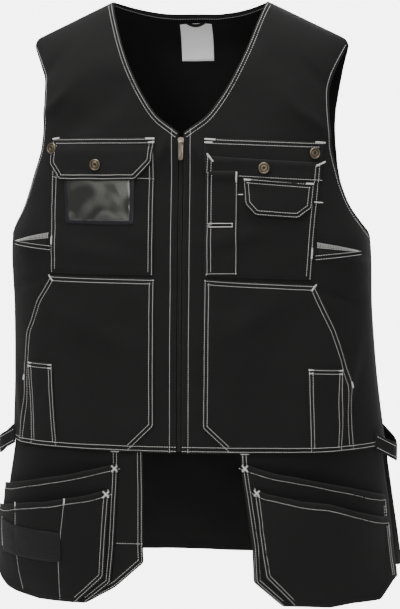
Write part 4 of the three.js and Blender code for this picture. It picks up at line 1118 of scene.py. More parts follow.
def vinyl_material():
    """Soft black edging with a fine grain."""
    material, nodes, shader = new_material("Black vinyl")
    grain = texture(nodes, 900.0, None, kind="ShaderNodeTexVoronoi")
    tint(nodes, shader, grain.outputs["Distance"], (0.004, 0.004, 0.006), (0.009, 0.009, 0.012))
    roughen(nodes, shader, grain.outputs["Distance"], 0.2, 0.32)
    emboss(nodes, shader, grain.outputs["Distance"], 0.3, 0.0002)
    adjust(shader, Specular_IOR_Level=0.25)
    return material


def ribbed_material(name, plain, rib, bump=0.8):
    """Webbing with ribs across it."""
    material, nodes, shader = new_material(name)
    place = add_node(nodes, "ShaderNodeUVMap", uv_map="cloth")
    split = nodes.new("ShaderNodeSeparateXYZ")
    join(place.outputs[0], split.inputs[0])
    ribs = ripples(nodes, split.outputs[1], 2 * math.pi / rib)
    picks = ripples(nodes, split.outputs[0], 4 * math.pi / rib)
    height = maths(nodes, "MULTIPLY_ADD", picks, 0.3, ribs)
    lint = texture(nodes, 300.0, 4.0, place.outputs[0])
    # The colour is lighter on the ribs and darker between them, as painted shade, with random lint.
    shade = maths(nodes, "MULTIPLY_ADD", height, 0.25, lint.outputs[0])
    tint(nodes, shader, shade, scaled(plain, 0.6), scaled(plain, 1.5))
    roughen(nodes, shader, lint.outputs[0], 0.2, 0.6)
    emboss(nodes, shader, height, bump, 0.0003)
    adjust(shader, Sheen_Weight=0.03, Specular_IOR_Level=0.2)
    return material


def material_of(name):
    """The vest's materials, each made once."""
    if name in bpy.data.materials:
        return bpy.data.materials[name]
    tints, label = colours(), colours().label
    makers = {
        "Black twill canvas": lambda n: cloth_material(n, tints.canvas, tints.faded, sizes().twill),
        "Black tape": lambda n: ribbed_material(n, (0.006, 0.006, 0.006), 0.0012, 0.5),
        "Black webbing": lambda n: ribbed_material(n, (0.0045, 0.0045, 0.0045), 0.0022, 0.5),
        "Bare label": lambda n: cloth_material(n, label, label, 0.0006, 0.1, 0.6, 0.12, 0.1, 0.05),
        "Antique brass": lambda n: metal_material(n, tints.brass, (0.05, 0.035, 0.02), 0.38),
        "Worn bronze": lambda n: metal_material(n, tints.bronze, (0.08, 0.06, 0.045), 0.32),
        "Dark teeth": lambda n: metal_material(n, (0.02, 0.02, 0.019), (0.006, 0.006, 0.006), 0.42),
        "Off-white thread": lambda n: thread_material(),
        "Clear film": lambda n: film_material(),
        "Black vinyl": lambda n: vinyl_material(),
    }
    return makers[name](name)


# Stitching


def repeat_tree():
    """Shapes set along paths, each as long as its point says and standing on the cloth."""
    if "Shapes along paths" in bpy.data.node_groups:
        return bpy.data.node_groups["Shapes along paths"]
    tree = bpy.data.node_groups.new("Shapes along paths", "GeometryNodeTree")
    tree.is_modifier = True
    wanted = [
        ("Paths", "NodeSocketGeometry"), ("Shape", "NodeSocketObject"), ("Thickness", "NodeSocketFloat"),
        ("Unevenness", "NodeSocketFloat"), ("Seed", "NodeSocketInt"), ("Material", "NodeSocketMaterial"),
    ]
    for label, kind in wanted:
        tree.interface.new_socket(name=label, in_out="INPUT", socket_type=kind)
    tree.interface.new_socket(name="Geometry", in_out="OUTPUT", socket_type="NodeSocketGeometry")
    nodes = tree.nodes
    source, sink = nodes.new("NodeGroupInput"), nodes.new("NodeGroupOutput")

    def named(label, kind):
        node = nodes.new("GeometryNodeInputNamedAttribute")
        node.data_type = kind
        node.inputs["Name"].default_value = label
        return node.outputs["Attribute"]

    curve = nodes.new("GeometryNodeMeshToCurve")
    join(source.outputs["Paths"], curve.inputs["Mesh"])
    spaced = nodes.new("GeometryNodeResampleCurve")
    spaced.mode = "LENGTH"
    join(curve.outputs["Curve"], spaced.inputs["Curve"])
    join(named("pitch", "FLOAT"), spaced.inputs["Length"])
    tangent = nodes.new("GeometryNodeInputTangent")
    lying = nodes.new("FunctionNodeAlignRotationToVector")
    lying.axis = "X"
    join(tangent.outputs[0], lying.inputs["Vector"])
    upright = nodes.new("FunctionNodeAlignRotationToVector")
    upright.axis = "Z"
    upright.pivot_axis = "X"
    join(lying.outputs[0], upright.inputs["Rotation"])
    join(named("up", "FLOAT_VECTOR"), upright.inputs["Vector"])
    swivel = nodes.new("FunctionNodeAxisAngleToRotation")
    swivel.inputs["Axis"].default_value = (0, 0, 1)
    stray = nodes.new("FunctionNodeRandomValue")
    stray.data_type = "FLOAT"
    stray.inputs[2].default_value, stray.inputs[3].default_value = -0.5, 0.5
    join(source.outputs["Seed"], stray.inputs["Seed"])
    wander = maths(nodes, "MULTIPLY", stray.outputs[1], source.outputs["Unevenness"])
    join(maths(nodes, "ADD", named("turn", "FLOAT"), wander), swivel.inputs["Angle"])
    turned = nodes.new("FunctionNodeRotateRotation")
    turned.rotation_space = "LOCAL"
    join(upright.outputs[0], turned.inputs["Rotation"])
    join(swivel.outputs[0], turned.inputs["Rotate By"])
    size = nodes.new("ShaderNodeCombineXYZ")
    join(named("span", "FLOAT"), size.inputs["X"])
    for axis in "YZ":
        join(source.outputs["Thickness"], size.inputs[axis])
    shape = nodes.new("GeometryNodeObjectInfo")
    join(source.outputs["Shape"], shape.inputs["Object"])
    placed = nodes.new("GeometryNodeInstanceOnPoints")
    join(spaced.outputs["Curve"], placed.inputs["Points"])
    join(shape.outputs["Geometry"], placed.inputs["Instance"])
    join(turned.outputs[0], placed.inputs["Rotation"])
    join(size.outputs[0], placed.inputs["Scale"])
    real = nodes.new("GeometryNodeRealizeInstances")
    join(placed.outputs["Instances"], real.inputs["Geometry"])
    painted = nodes.new("GeometryNodeSetMaterial")
    join(real.outputs["Geometry"], painted.inputs["Geometry"])
    join(source.outputs["Material"], painted.inputs["Material"])
    join(painted.outputs["Geometry"], sink.inputs["Geometry"])
    return tree


def ring_faces(rings, sides):
    """Faces between each ring of points and the next."""
    faces = []
    for ring in range(rings - 1):
        for i in range(sides):
            a, b = ring * sides + i, ring * sides + (i + 1) % sides
            faces.append((a, b, b + sides, a + sides))
    return faces


def closed_rings(rings, sides):
    """Faces of a closed shape made of rings."""
    ends = [tuple(range(sides))[::-1], tuple(range((rings - 1) * sides, rings * sides))]
    return ring_faces(rings, sides) + ends


def stitch_shape():
    """One stitch, a unit long and thick: rounded, with its ends sunk."""
    rings, sides = 5, 6
    points, twist = [], []
    for r in range(rings):
        x = r / (rings - 1) - 0.5
        size = 0.5 * (1 - 0.6 * abs(2 * x) ** 3)
        for s in range(sides):
            angle = 2 * math.pi * s / sides
            points.append((x, size * math.cos(angle), size * math.sin(angle) - 0.9 * x * x))
            twist.append(2 * x + s / sides)
    obj = mesh_object("stitch_shape", np.array(points) / MM, closed_rings(rings, sides))
    add_floats(obj, "twist", twist)
    obj.data.shade_smooth()
    return obj


def tooth_shape():
    """One zip tooth, a unit across and thick."""
    outline = np.array([
        (-0.5, -0.32), (0.2, -0.32), (0.3, -0.5), (0.5, -0.42), (0.5, 0.42), (0.3, 0.5), (0.2, 0.32),
        (-0.5, 0.32),
    ])
    levels = ((-0.5, 0.86), (-0.3, 1.0), (0.3, 1.0), (0.5, 0.8))
    points = [(x, y, z) for z, shrink in levels for x, y in outline * shrink]
    return mesh_object("tooth_shape", np.array(points) / MM, closed_rings(len(levels), len(outline)))


class Path:
    """A line of stitches on a surface."""

    def __init__(self, points, ups, pitch, span, turn=0.0):
        self.points, self.ups = np.asarray(points), np.asarray(ups)
        self.pitch, self.span, self.turn = pitch, span, turn


def along_paths(name, paths, shape, thickness, unevenness, material):
    """Sets a shape along each path and keeps the result as one plain piece."""
    paths = [p for p in paths if len(p.points) > 1]
    points = np.vstack([p.points for p in paths])
    edges, start = [], 0
    for p in paths:
        edges += [(start + i, start + i + 1) for i in range(len(p.points) - 1)]
        start += len(p.points)
    carrier = mesh_object(name + "_paths", points, [], edges)
    ups = carrier.data.attributes.new("up", "FLOAT_VECTOR", "POINT")
    ups.data.foreach_set("vector", np.vstack([p.ups for p in paths]).astype(np.float32).ravel())
    for label in ("pitch", "turn", "span"):
        values = [np.broadcast_to(getattr(p, label), len(p.points)) for p in paths]
        add_floats(carrier, label, np.concatenate(values))
    tree = repeat_tree()
    modifier = carrier.modifiers.new("Shapes", "NODES")
    modifier.node_group = tree
    values = {
        "Shape": shape, "Thickness": thickness, "Unevenness": unevenness, "Seed": sizes().seed,
        "Material": material,
    }
    for item in tree.interface.items_tree:
        if item.in_out == "INPUT" and item.name in values:
            modifier[item.identifier] = values[item.name]
    carrier.update_tag()
    graph = bpy.context.evaluated_depsgraph_get()
    mesh = bpy.data.meshes.new_from_object(carrier.evaluated_get(graph))
    need(len(mesh.polygons), "no shapes were set along " + name)
    bpy.data.objects.remove(carrier)
    bpy.data.objects.remove(shape)
    mesh.name = name
    obj = add_object(name, mesh)
    return finish_piece(obj, "", material)


# How far stitches stray from their line, in radians
STRAY = 0.12


def stitches(name, paths):
    return along_paths(name, paths, stitch_shape(), sizes().thread, STRAY, material_of("Off-white thread"))


def plain_row(points, normals):
    return Path(points, normals, sizes().stitch_pitch, sizes().stitch_length)


def run(cloth, line, lift=0.1):
    """A row of plain stitches on a piece's face."""
    return plain_row(*cloth.on_face(dense(line, 3.0), lift))


def runs(cloth, lines):
    return [run(cloth, line) for line in lines]


def spot(x, drop):
    """A place on the front's cloth."""
    return tuple(from_front([(x, drop)])[0])


def tacks(cloth, rows, place=spot):
    """Bartacks from a table of their ends and widths."""
    return [tack(cloth, place(*a), place(*b), *width) for a, b, *width in rows]


def tack(cloth, a, b, width=USUAL_TACK, lift=0.25):
    """A bartack from one point to another: short stitches side by side."""
    points, normals = cloth.on_face(dense([a, b], 1.0), lift)
    return Path(points, normals, sizes().tack_pitch, width * MM, math.pi / 2)


def placed(key, side, inset, width, drop, height):
    """A named outline, or rows, set at its real place as x and drop."""
    rows = OUTLINES[key] if isinstance(key, str) else key
    return np.array([(side * (inset + a * width), drop + d * height) for a, d in rows])


def rails(outline, first, last, insets=(EDGE_STITCH, SECOND_STITCH), trim=0.0):
    """Lines inside an outline, from one of its corners to another; two such runs meet at a corner."""
    count = len(outline)
    span = (last - first) % count
    corners = [outline[(first + i) % count] for i in range(span + 1)]
    turn = 1 if area(np.asarray(outline)) > 0 else -1
    lines = []
    for inset in insets:
        line = shifted(soften(dense(corners, 1.5), 3), turn * inset)
        start = round((trim + inset) / 1.5)
        lines.append(line[start : len(line) - start])
    return lines


def sided(label, side):
    """Names of a cloth piece and of its node, on one side."""
    return f"{label}_cloth_{NAMES[side]}", f"{label}_{NAMES[side]}"


def rectangle(near, far, top, low):
    return [(near, top), (far, top), (far, low), (near, low)]


def eased(outline):
    """An outline with slightly rounded corners."""
    return soften(dense(outline, 2.0, closed=True), 3, closed=True)


# Body


STACK = {}


def armhole_line(face, side):
    column = 1 if face == FRONT else 2
    rows = [(row[column] * ARMHOLE_REACH[face], ARMHOLE_TOP + row[0] * ARMHOLE_HEIGHT) for row in ARMHOLE]
    line = spline(rows, 8)[1:]
    hole = from_side(line, face, side)
    tip = NECK_HALF_WIDTH + SHOULDER_RUN * ARMHOLE_TOP / SHOULDER_FALL
    start = from_front([(side * tip, ARMHOLE_TOP)], face)
    hole[-1, 0] = side * ARC[-1]
    return np.vstack([start, hole[2:]])


def shoulder_line(face, side):
    tip = NECK_HALF_WIDTH + SHOULDER_RUN * ARMHOLE_TOP / SHOULDER_FALL
    x = np.linspace(NECK_HALF_WIDTH, tip, 24)[1:-1]
    line = from_front(np.stack([side * x, ridge_drop(x)], 1), face)
    line[:, 1] = 0
    return line


def side_line(face, side, top, low):
    drops = np.linspace(top, low, 60)[1:-1]
    half, _ = section(side, drops)
    return np.stack([np.full(len(drops), side * ARC[-1]), fall_length(face, ridge_drop(half), drops)], 1)


def neckline(side):
    rows = [(side * a * NECK_HALF_WIDTH, d * NECK_FRONT_DROP) for a, d in NECKLINE]
    line = spline(rows, 8)
    return np.vstack([[(side * ZIP_EDGE, line[0, 1] - 0.3)], line[np.abs(line[:, 0]) > ZIP_EDGE + 0.5]])


def front_outline(side):
    bottom = ROLL_RUN[FRONT] + FALL_RUN[FRONT]
    neck = from_front(neckline(side))
    neck[-1, 1] = 0
    zip_top = neckline(side)[0, 1]
    zip_line = from_front([(side * ZIP_EDGE, d) for d in np.linspace(FRONT_LENGTH, zip_top + 3, 120)])
    hole = armhole_line(FRONT, side)
    seam = side_line(FRONT, side, ARMHOLE_TOP + ARMHOLE_HEIGHT, FRONT_LENGTH)
    hem = [(side * u, bottom) for u in np.linspace(ARC[-1], abs(zip_line[0, 0]), 90)[:-1]]
    return np.vstack([zip_line, neck, shoulder_line(FRONT, side), hole, seam, hem])


def hem_lines(side):
    bottom = ROLL_RUN[FRONT] + FALL_RUN[FRONT]
    start = abs(from_front([(ZIP_EDGE + 1.5, FRONT_LENGTH)])[0, 0])
    return [
        np.array([(side * u, bottom - inset) for u in np.linspace(start, ARC[-1] - 1, 100)])
        for inset in (EDGE_STITCH, SECOND_STITCH + 0.4)
    ]


def build_body():
    canvas = material_of("Black twill canvas")
    thickness = sizes().cloth / MM
    paths = []
    for side in (RIGHT, LEFT):
        hole = armhole_line(FRONT, side)
        neck = from_front(neckline(side))
        armhole_stitch = shifted(hole, ARMHOLE_STITCH * side)
        neck_stitch = [shifted(neck, inset * side) for inset in NECK_STITCHES]
        zip_drops = np.linspace(NECK_FRONT_DROP - 6, FRONT_LENGTH - 1, 140)
        zip_stitch = from_front([(side * ZIP_STITCH, d) for d in zip_drops])
        seams = [armhole_stitch[1:-1], *[n[1:-1] for n in neck_stitch], zip_stitch, *hem_lines(side)]
        panel = Cloth(SKIN[FRONT], front_outline(side), 0.0, seams=seams, hem=6.0, turned_edge=0.5)
        STACK["panel", side] = panel
        panel.build(*sided("front_panel", side), "canvas", canvas, inner=flat(-thickness))
        paths += runs(panel, seams[:-2])
    stitches("body_stitching", paths)
    build_back(canvas, thickness)


def back_neck(reach, steps=48, span=1.0):
    angles = np.linspace(0.5 - span / 2, 0.5 + span / 2, steps) * math.pi
    wide = NECK_HALF_WIDTH + reach - NECK_BACK_REACH
    return from_above(np.stack([wide * np.cos(angles), reach * np.sin(angles)], 1))


def build_back(canvas, thickness):
    low = FRONT_LENGTH + TAIL_LENGTH
    bottom = ROLL_RUN[BACK] + FALL_RUN[BACK]
    neck = back_neck(NECK_BACK_REACH)
    neck[0, 1] = neck[-1, 1] = 0
    sides = {}
    angles = np.linspace(0, math.pi / 2, 14)
    corner = np.stack([TAIL_CORNER * (1 - np.cos(angles)), low - TAIL_CORNER * (1 - np.sin(angles))], 1)
    for side in (RIGHT, LEFT):
        seam = side_line(BACK, side, ARMHOLE_TOP + ARMHOLE_HEIGHT, low - TAIL_CORNER)
        bend = from_side(corner[1:], BACK, side)
        bend[-1, 1] = bottom
        sides[side] = np.vstack([shoulder_line(BACK, side), armhole_line(BACK, side), seam, bend])
    inner_u = abs(sides[LEFT][-1, 0])
    hem = [(u, bottom) for u in np.linspace(-inner_u, inner_u, 160)[1:-1]]
    outline = np.vstack([neck, sides[RIGHT], hem, sides[LEFT][::-1]])
    tail = np.vstack([sides[RIGHT][-14:], hem, sides[LEFT][::-1][:14]])
    seams = [shifted(armhole_line(BACK, side), ARMHOLE_STITCH * side)[1:-1] for side in (RIGHT, LEFT)]
    near, deep = TAIL_STITCHES
    seams += [shifted(tail, -near)[1:-1], shifted(tail, -deep)[6:-6]]
    panel = Cloth(SKIN[BACK], outline, 0.0, seams=seams, hem=deep, turned_edge=0.4, mesh=1.3)
    panel.build("back_panel_cloth", "back_panel", "canvas", canvas, inner=flat(-thickness))
    stitches("back_stitching", runs(panel, seams))


# Inside the back neck


def inner_path(line, depth):
    """Stitches on the inner side of the back's cloth."""
    uv = dense(line, 3.0)
    points, normals = SKIN[BACK].frame(uv)
    return plain_row(points - normals * depth, -normals)


def build_neck():
    tape = material_of("Black tape")
    near = back_neck(NECK_BACK_REACH + 1, 60, 0.84)
    far = back_neck(NECK_BACK_REACH + NECK_TAPE_WIDTH, 60, 0.84)

    def lining(label, node, slot, outline, material, outer=NECK_OUTER, inner=NECK_INNER):
        made = Cloth(SKIN[BACK], outline, 0.0, base=flat(-outer), turned_edge=0.0, hem=2.0, mesh=0.7)
        made.build(label, node, slot, material, inner=flat(-inner))

    lining("neck_tape_cloth", "neck_tape", "tape", np.vstack([near, far[::-1]]), tape)
    half = LABEL_WIDTH / 2
    low = LABEL_DROP + LABEL_HEIGHT
    corners = rectangle(-half, half, LABEL_DROP, low)
    outline = from_front(dense(corners, 2.0, closed=True), BACK)
    lining("label_cloth", "size_label", "label", outline, material_of("Bare label"))
    top = LABEL_DROP - HANGER_BAND

    def sag(wide, lift):
        x = np.linspace(-wide, wide, 17)
        return np.stack([x, top + lift * (1 - (x / wide) ** 2)], 1)

    upper = sag(HANGER_WIDTH / 2, 2 * HANGER_BAND)
    lower = sag(HANGER_WIDTH / 2 - HANGER_BAND, HANGER_BAND)
    loop = from_front(np.vstack([upper, lower[::-1]]), BACK)
    lining("hanger_loop_cloth", "hanger_loop", "tape", loop, tape, HANGER_OUTER, HANGER_INNER)
    edge = back_neck(NECK_BACK_REACH + NECK_TAPE_WIDTH - 1.2, 60, 0.83)
    stitches("neck_stitching", [inner_path(edge, 2.95)])


# Zip


def build_zip():
    tape = material_of("Black tape")
    top, low = NECK_FRONT_DROP + 9, FRONT_LENGTH - 1
    drops = np.linspace(top, low, 140)
    left = from_front([(ZIP_TAPE_HALF, d) for d in drops])
    right = from_front([(-ZIP_TAPE_HALF, d) for d in drops[::-1]])
    strip = Cloth(SKIN[FRONT], np.vstack([left, right]), 0.0, base=flat(-ZIP_TAPE_OUTER), turned_edge=0.0,
                  hem=2.0)
    strip.build("zip_tape_cloth", "zip_chain", "tape", tape, inner=flat(-ZIP_TAPE_INNER))
    paths = []
    for side in (RIGHT, LEFT):
        start = TOOTH_PITCH / 2 if side > 0 else 0
        line = np.array([(side * 1.0, d + start) for d in np.linspace(top + 1, low - 3, 200)])
        points, normals = SKIN[FRONT].frame(from_front(line))
        sunk = points - normals * TOOTH_DEPTH
        paths.append(Path(sunk, normals, TOOTH_PITCH * MM, TOOTH_LENGTH * MM, side * math.pi / 2))
    along_paths("zip_teeth", paths, tooth_shape(), TOOTH_SIZE * MM, 0.0, material_of("Dark teeth"))
    for node, name, body in (("zip_slider", "slider_metal", "vest"), ("zip_pull", "pull_metal", "pull")):
        bevelled_metal(node, name, body)


def bevelled_metal(node, name, body):
    """A frame node's form with its edges eased."""
    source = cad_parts[node]
    mesh = source.data.copy()
    mesh.name = name
    obj = add_object(name, mesh)
    weld = obj.modifiers.new("Merge", "WELD")
    weld.merge_threshold = 0.00001
    bevel = obj.modifiers.new("Ease", "BEVEL")
    bevel.width, bevel.segments = 0.00025, 2
    bevel.limit_method, bevel.angle_limit = "ANGLE", math.radians(35)
    bevel.use_clamp_overlap = True
    graph = bpy.context.evaluated_depsgraph_get()
    made = bpy.data.meshes.new_from_object(obj.evaluated_get(graph))
    obj.modifiers.clear()
    obj.data = made
    points = np.zeros(len(made.vertices) * 3)
    made.vertices.foreach_get("co", points)
    add_floats(obj, "hollow", 0.25 + 0.25 * noise(points[0::3] / MM, points[2::3] / MM, 2.0, 5))
    finish_piece(obj, node, material_of("Worn bronze"), body)


# Chest pockets


def pocket(paths, name, node, outline, below, seams, thickness=None, puff=0.9, rise=None, holes=(),
           slot="canvas", material="Black twill canvas", **more):
    """A piece on the front over what is below it; its rows of stitches are added to the paths."""
    thickness = thickness or sizes().pocket_cloth / MM
    lines = [dense(from_front(dense(line, 2.5)), 3.0) for line in seams]
    cuts = [from_front(dense(hole, 2.0, closed=True)) for hole in holes]
    cloth = Cloth(SKIN[FRONT], from_front(eased(outline)), thickness, below, None, lines, cuts, puff, rise,
                  **more)
    cloth.build(name, node, slot, material_of(material))
    paths += runs(cloth, lines)
    return cloth


def build_chest_right():
    panel = STACK["panel", RIGHT]
    body = placed("chest_right", RIGHT, POCKET_INSET, CHEST_WIDTH, HIDDEN_MOUTH, CHEST_BOTTOM - HIDDEN_MOUTH)
    sides = rails(body, 1, 2) + rails(body, 3, 4)
    mouth = [(-POCKET_INSET - 3, 239.0), (-POCKET_INSET - CHEST_WIDTH + 2, 239.5)]
    paths = []
    base = pocket(paths, *sided("chest_pocket", RIGHT), body, [panel], [*sides, mouth], mesh=0.9)

    def window(grow):
        inner, outer = -WINDOW_INSET + grow, -WINDOW_INSET - WINDOW_WIDTH - grow
        top, low = WINDOW_DROP - grow, WINDOW_DROP + WINDOW_HEIGHT + grow
        return np.array([(inner, top), (outer, top), (outer + 3, low), (inner, low)])

    surround = pocket(
        paths, "window_frame_vinyl", "id_window_frame", window(0), [base], [], 1.0, 0.0,
        holes=[window(-WINDOW_BORDER)], slot="vinyl", material="Black vinyl", turned_edge=0.0, mesh=0.6,
    )
    wavy = lambda uv: FILM_WAVE + FILM_WAVE * noise(uv[:, 0] + 700, uv[:, 1] + 300, FILM_WAVE_LENGTH, 1)
    pocket(
        paths, "window_film_sheet", "id_window_film", window(-WINDOW_BORDER + 1.0), [base], [], 0.45, 0.3,
        wavy, slot="film", material="Clear film", turned_edge=0.0, mesh=0.5,
    )
    outline = placed("flap", RIGHT, POCKET_INSET, CHEST_WIDTH, CHEST_TOP, FLAP_HEIGHT)
    lines = rails(outline, 0, 1) + rails(outline, 1, 6)
    start = spot(-100.0, float(CHEST_TOP + FLAP_BAND))[1]
    hang = lambda uv: FLAP_HANG * ramp(0, 46, uv[:, 1] - start)
    below = [panel, base, surround]
    flap = pocket(paths, *sided("chest_flap", RIGHT), outline, below, lines, puff=0.6, rise=hang, mesh=0.9)
    paths += tacks(flap, FLAP_TACKS_RIGHT) + tacks(base, POCKET_TACKS_RIGHT)
    stitches("chest_stitching_right", paths)
    STACK["chest", RIGHT] = [panel, base, surround, flap]


def build_chest_left():
    panel = STACK["panel", LEFT]
    chest = lambda key: placed(key, LEFT, POCKET_INSET, CHEST_WIDTH, CHEST_TOP, CHEST_HEIGHT)
    tucked = chest("tucked_flap")
    lines = rails(tucked, 0, 1)
    paths = []
    flap = pocket(paths, *sided("chest_flap", LEFT), tucked, [panel], lines, puff=0.3, mesh=0.9)
    outline = chest("chest_left")
    sides = rails(outline, 1, 2) + rails(outline, 3, 4)
    lines = [*sides, [(77.0, 235.0), (186.0, 242.5)]]
    base = pocket(paths, *sided("chest_pocket", LEFT), outline, [panel, flap], lines, puff=0.8, mesh=0.9)
    middle = POCKET_INSET + 1 + PEN_WIDTH / 2
    pen_height = CHEST_BOTTOM - PEN_DROP - 1
    pen = placed("chest_right", LEFT, POCKET_INSET + 1, PEN_WIDTH, PEN_DROP, pen_height)
    half = PEN_SLIT_WIDTH / 2
    slit = rectangle(middle - half, middle + half, PEN_SLIT_DROP, PEN_SLIT_DROP + PEN_SLIT_HEIGHT)
    pen_lines = rails(pen, 1, 2, (1.6,)) + rails(pen, 2, 3, (2.0,))
    pen_cloth = pocket(paths, "pen_pocket_cloth", "pen_pocket", pen, [panel, base], pen_lines,
                       puff=0.7, holes=[slit], mesh=0.8)
    paths += [run(pen_cloth, from_front(line)) for line in rails(pen, 3, 4)]
    phone = placed("phone_flap", LEFT, PHONE_INSET, PHONE_WIDTH, PHONE_DROP, PHONE_HEIGHT)
    phone_lines = rails(phone, 0, 1, (1.4, 5.8)) + rails(phone, 1, 6, (1.4, 6.2))
    start = spot(130.0, float(PHONE_DROP + 6))[1]
    hang = lambda uv: PHONE_HANG * ramp(4, 44, uv[:, 1] - start)
    cover = pocket(paths, "phone_flap_cloth", "phone_flap", phone, [panel, base], phone_lines,
                   puff=0.9, rise=hang, mesh=0.8)
    paths += tacks(flap, FLAP_TACKS_LEFT) + tacks(base, MOUTH_TACKS_LEFT) + tacks(pen_cloth, PEN_TACKS)
    paths += tacks(base, POCKET_TACKS_LEFT) + tacks(cover, PHONE_TACKS)
    stitches("chest_stitching_left", paths)
    STACK["chest", LEFT] = [panel, flap, base, pen_cloth, cover]


# Side slits and lower pockets


def build_slits():
    paths = []
    for side in (RIGHT, LEFT):
        panel = STACK["panel", side]
        outline = placed("side_slit", side, SLIT_INSET, SLIT_WIDTH, SLIT_DROP[side], SLIT_HEIGHT)
        facing = pocket(paths, *sided("side_slit", side), outline, [panel], [], SLIT_CLOTH, 0.0,
                        mesh=0.6, turned_edge=0.2)
        top = SLIT_DROP[side]
        wedge = [(side * (SLIT_INSET + along), top + fall) for along, fall in SLIT_WEDGE]
        line = from_front(dense(wedge, 2.0))
        points, normals = facing.on_face(line, 0.25)
        width = np.linspace(*SLIT_STITCH_WIDTHS, len(line)) * MM
        paths.append(Path(points, normals, SLIT_STITCH_PITCH * MM, width, math.pi / 2 + 0.25 * side))
        for shift in (-3.2, 3.2):
            rim = np.array(wedge) + [(0, shift), (0, shift * 0.7), (0, shift * 0.2)]
            paths.append(run(facing, from_front(dense(rim, 2.0))))
        for drop, fall in SLIT_ROWS:
            rows = [(side * (SLIT_INSET - 3), top + drop), (side * (SLIT_INSET + 52), top + drop + fall)]
            lower = from_front(dense(rows, 2.0))
            paths.append(plain_row(*panel.on_face(lower, 1.1)))
    stitches("slit_stitching", paths)


def build_lower():
    paths = []
    for side in (RIGHT, LEFT):
        name = NAMES[side]
        panel = STACK["panel", side]
        outline = placed("lower_" + name, side, POCKET_INSET, LOWER_WIDTH, LOWER_TOP, LOWER_HEIGHT)
        lines = rails(outline, 0, 1) + rails(outline, 1, 5) + rails(outline, 6, 8)
        base = pocket(paths, *sided("lower_pocket", side), outline, [panel], lines, puff=1.6)
        top = FRONT_LENGTH - RULER_HEIGHT
        rows = placed("ruler_" + name, side, RULER_INSET, RULER_WIDTH, top, RULER_HEIGHT - 2)
        ruler_lines = rails(rows, 0, 1) + rails(rows, 1, 2, (1.6, 5.6)) + rails(rows, 3, 4, (1.6, 5.6))
        ruler = pocket(paths, *sided("ruler_pocket", side), rows, [panel, base], ruler_lines,
                       puff=0.8, mesh=0.8)
        whole = Cloth(SKIN[FRONT], front_outline(side), 0.0, below=[panel, base, ruler], turned_edge=0.0)
        paths += [run(whole, line, 0.15) for line in hem_lines(side)]
        x, drop = outline[1]
        paths.append(tack(base, spot(x + side * 2, drop - 1), spot(x - side * 4, drop + 7)))
        x, drop = outline[4]
        paths.append(tack(base, spot(x - side * 2, drop - 3), spot(x + side * 0.5, drop + 4), 3.4))
        for corner, step in ((rows[0], 1), (rows[1], -1)):
            for drop in (2.0, 6.5):
                x, level = corner[0] + side * step * 1.5, corner[1] + drop
                paths.append(tack(ruler, spot(x, level), spot(x + side * step * 4.5, level), 1.8))
    stitches("lower_stitching", paths)


# Holsters


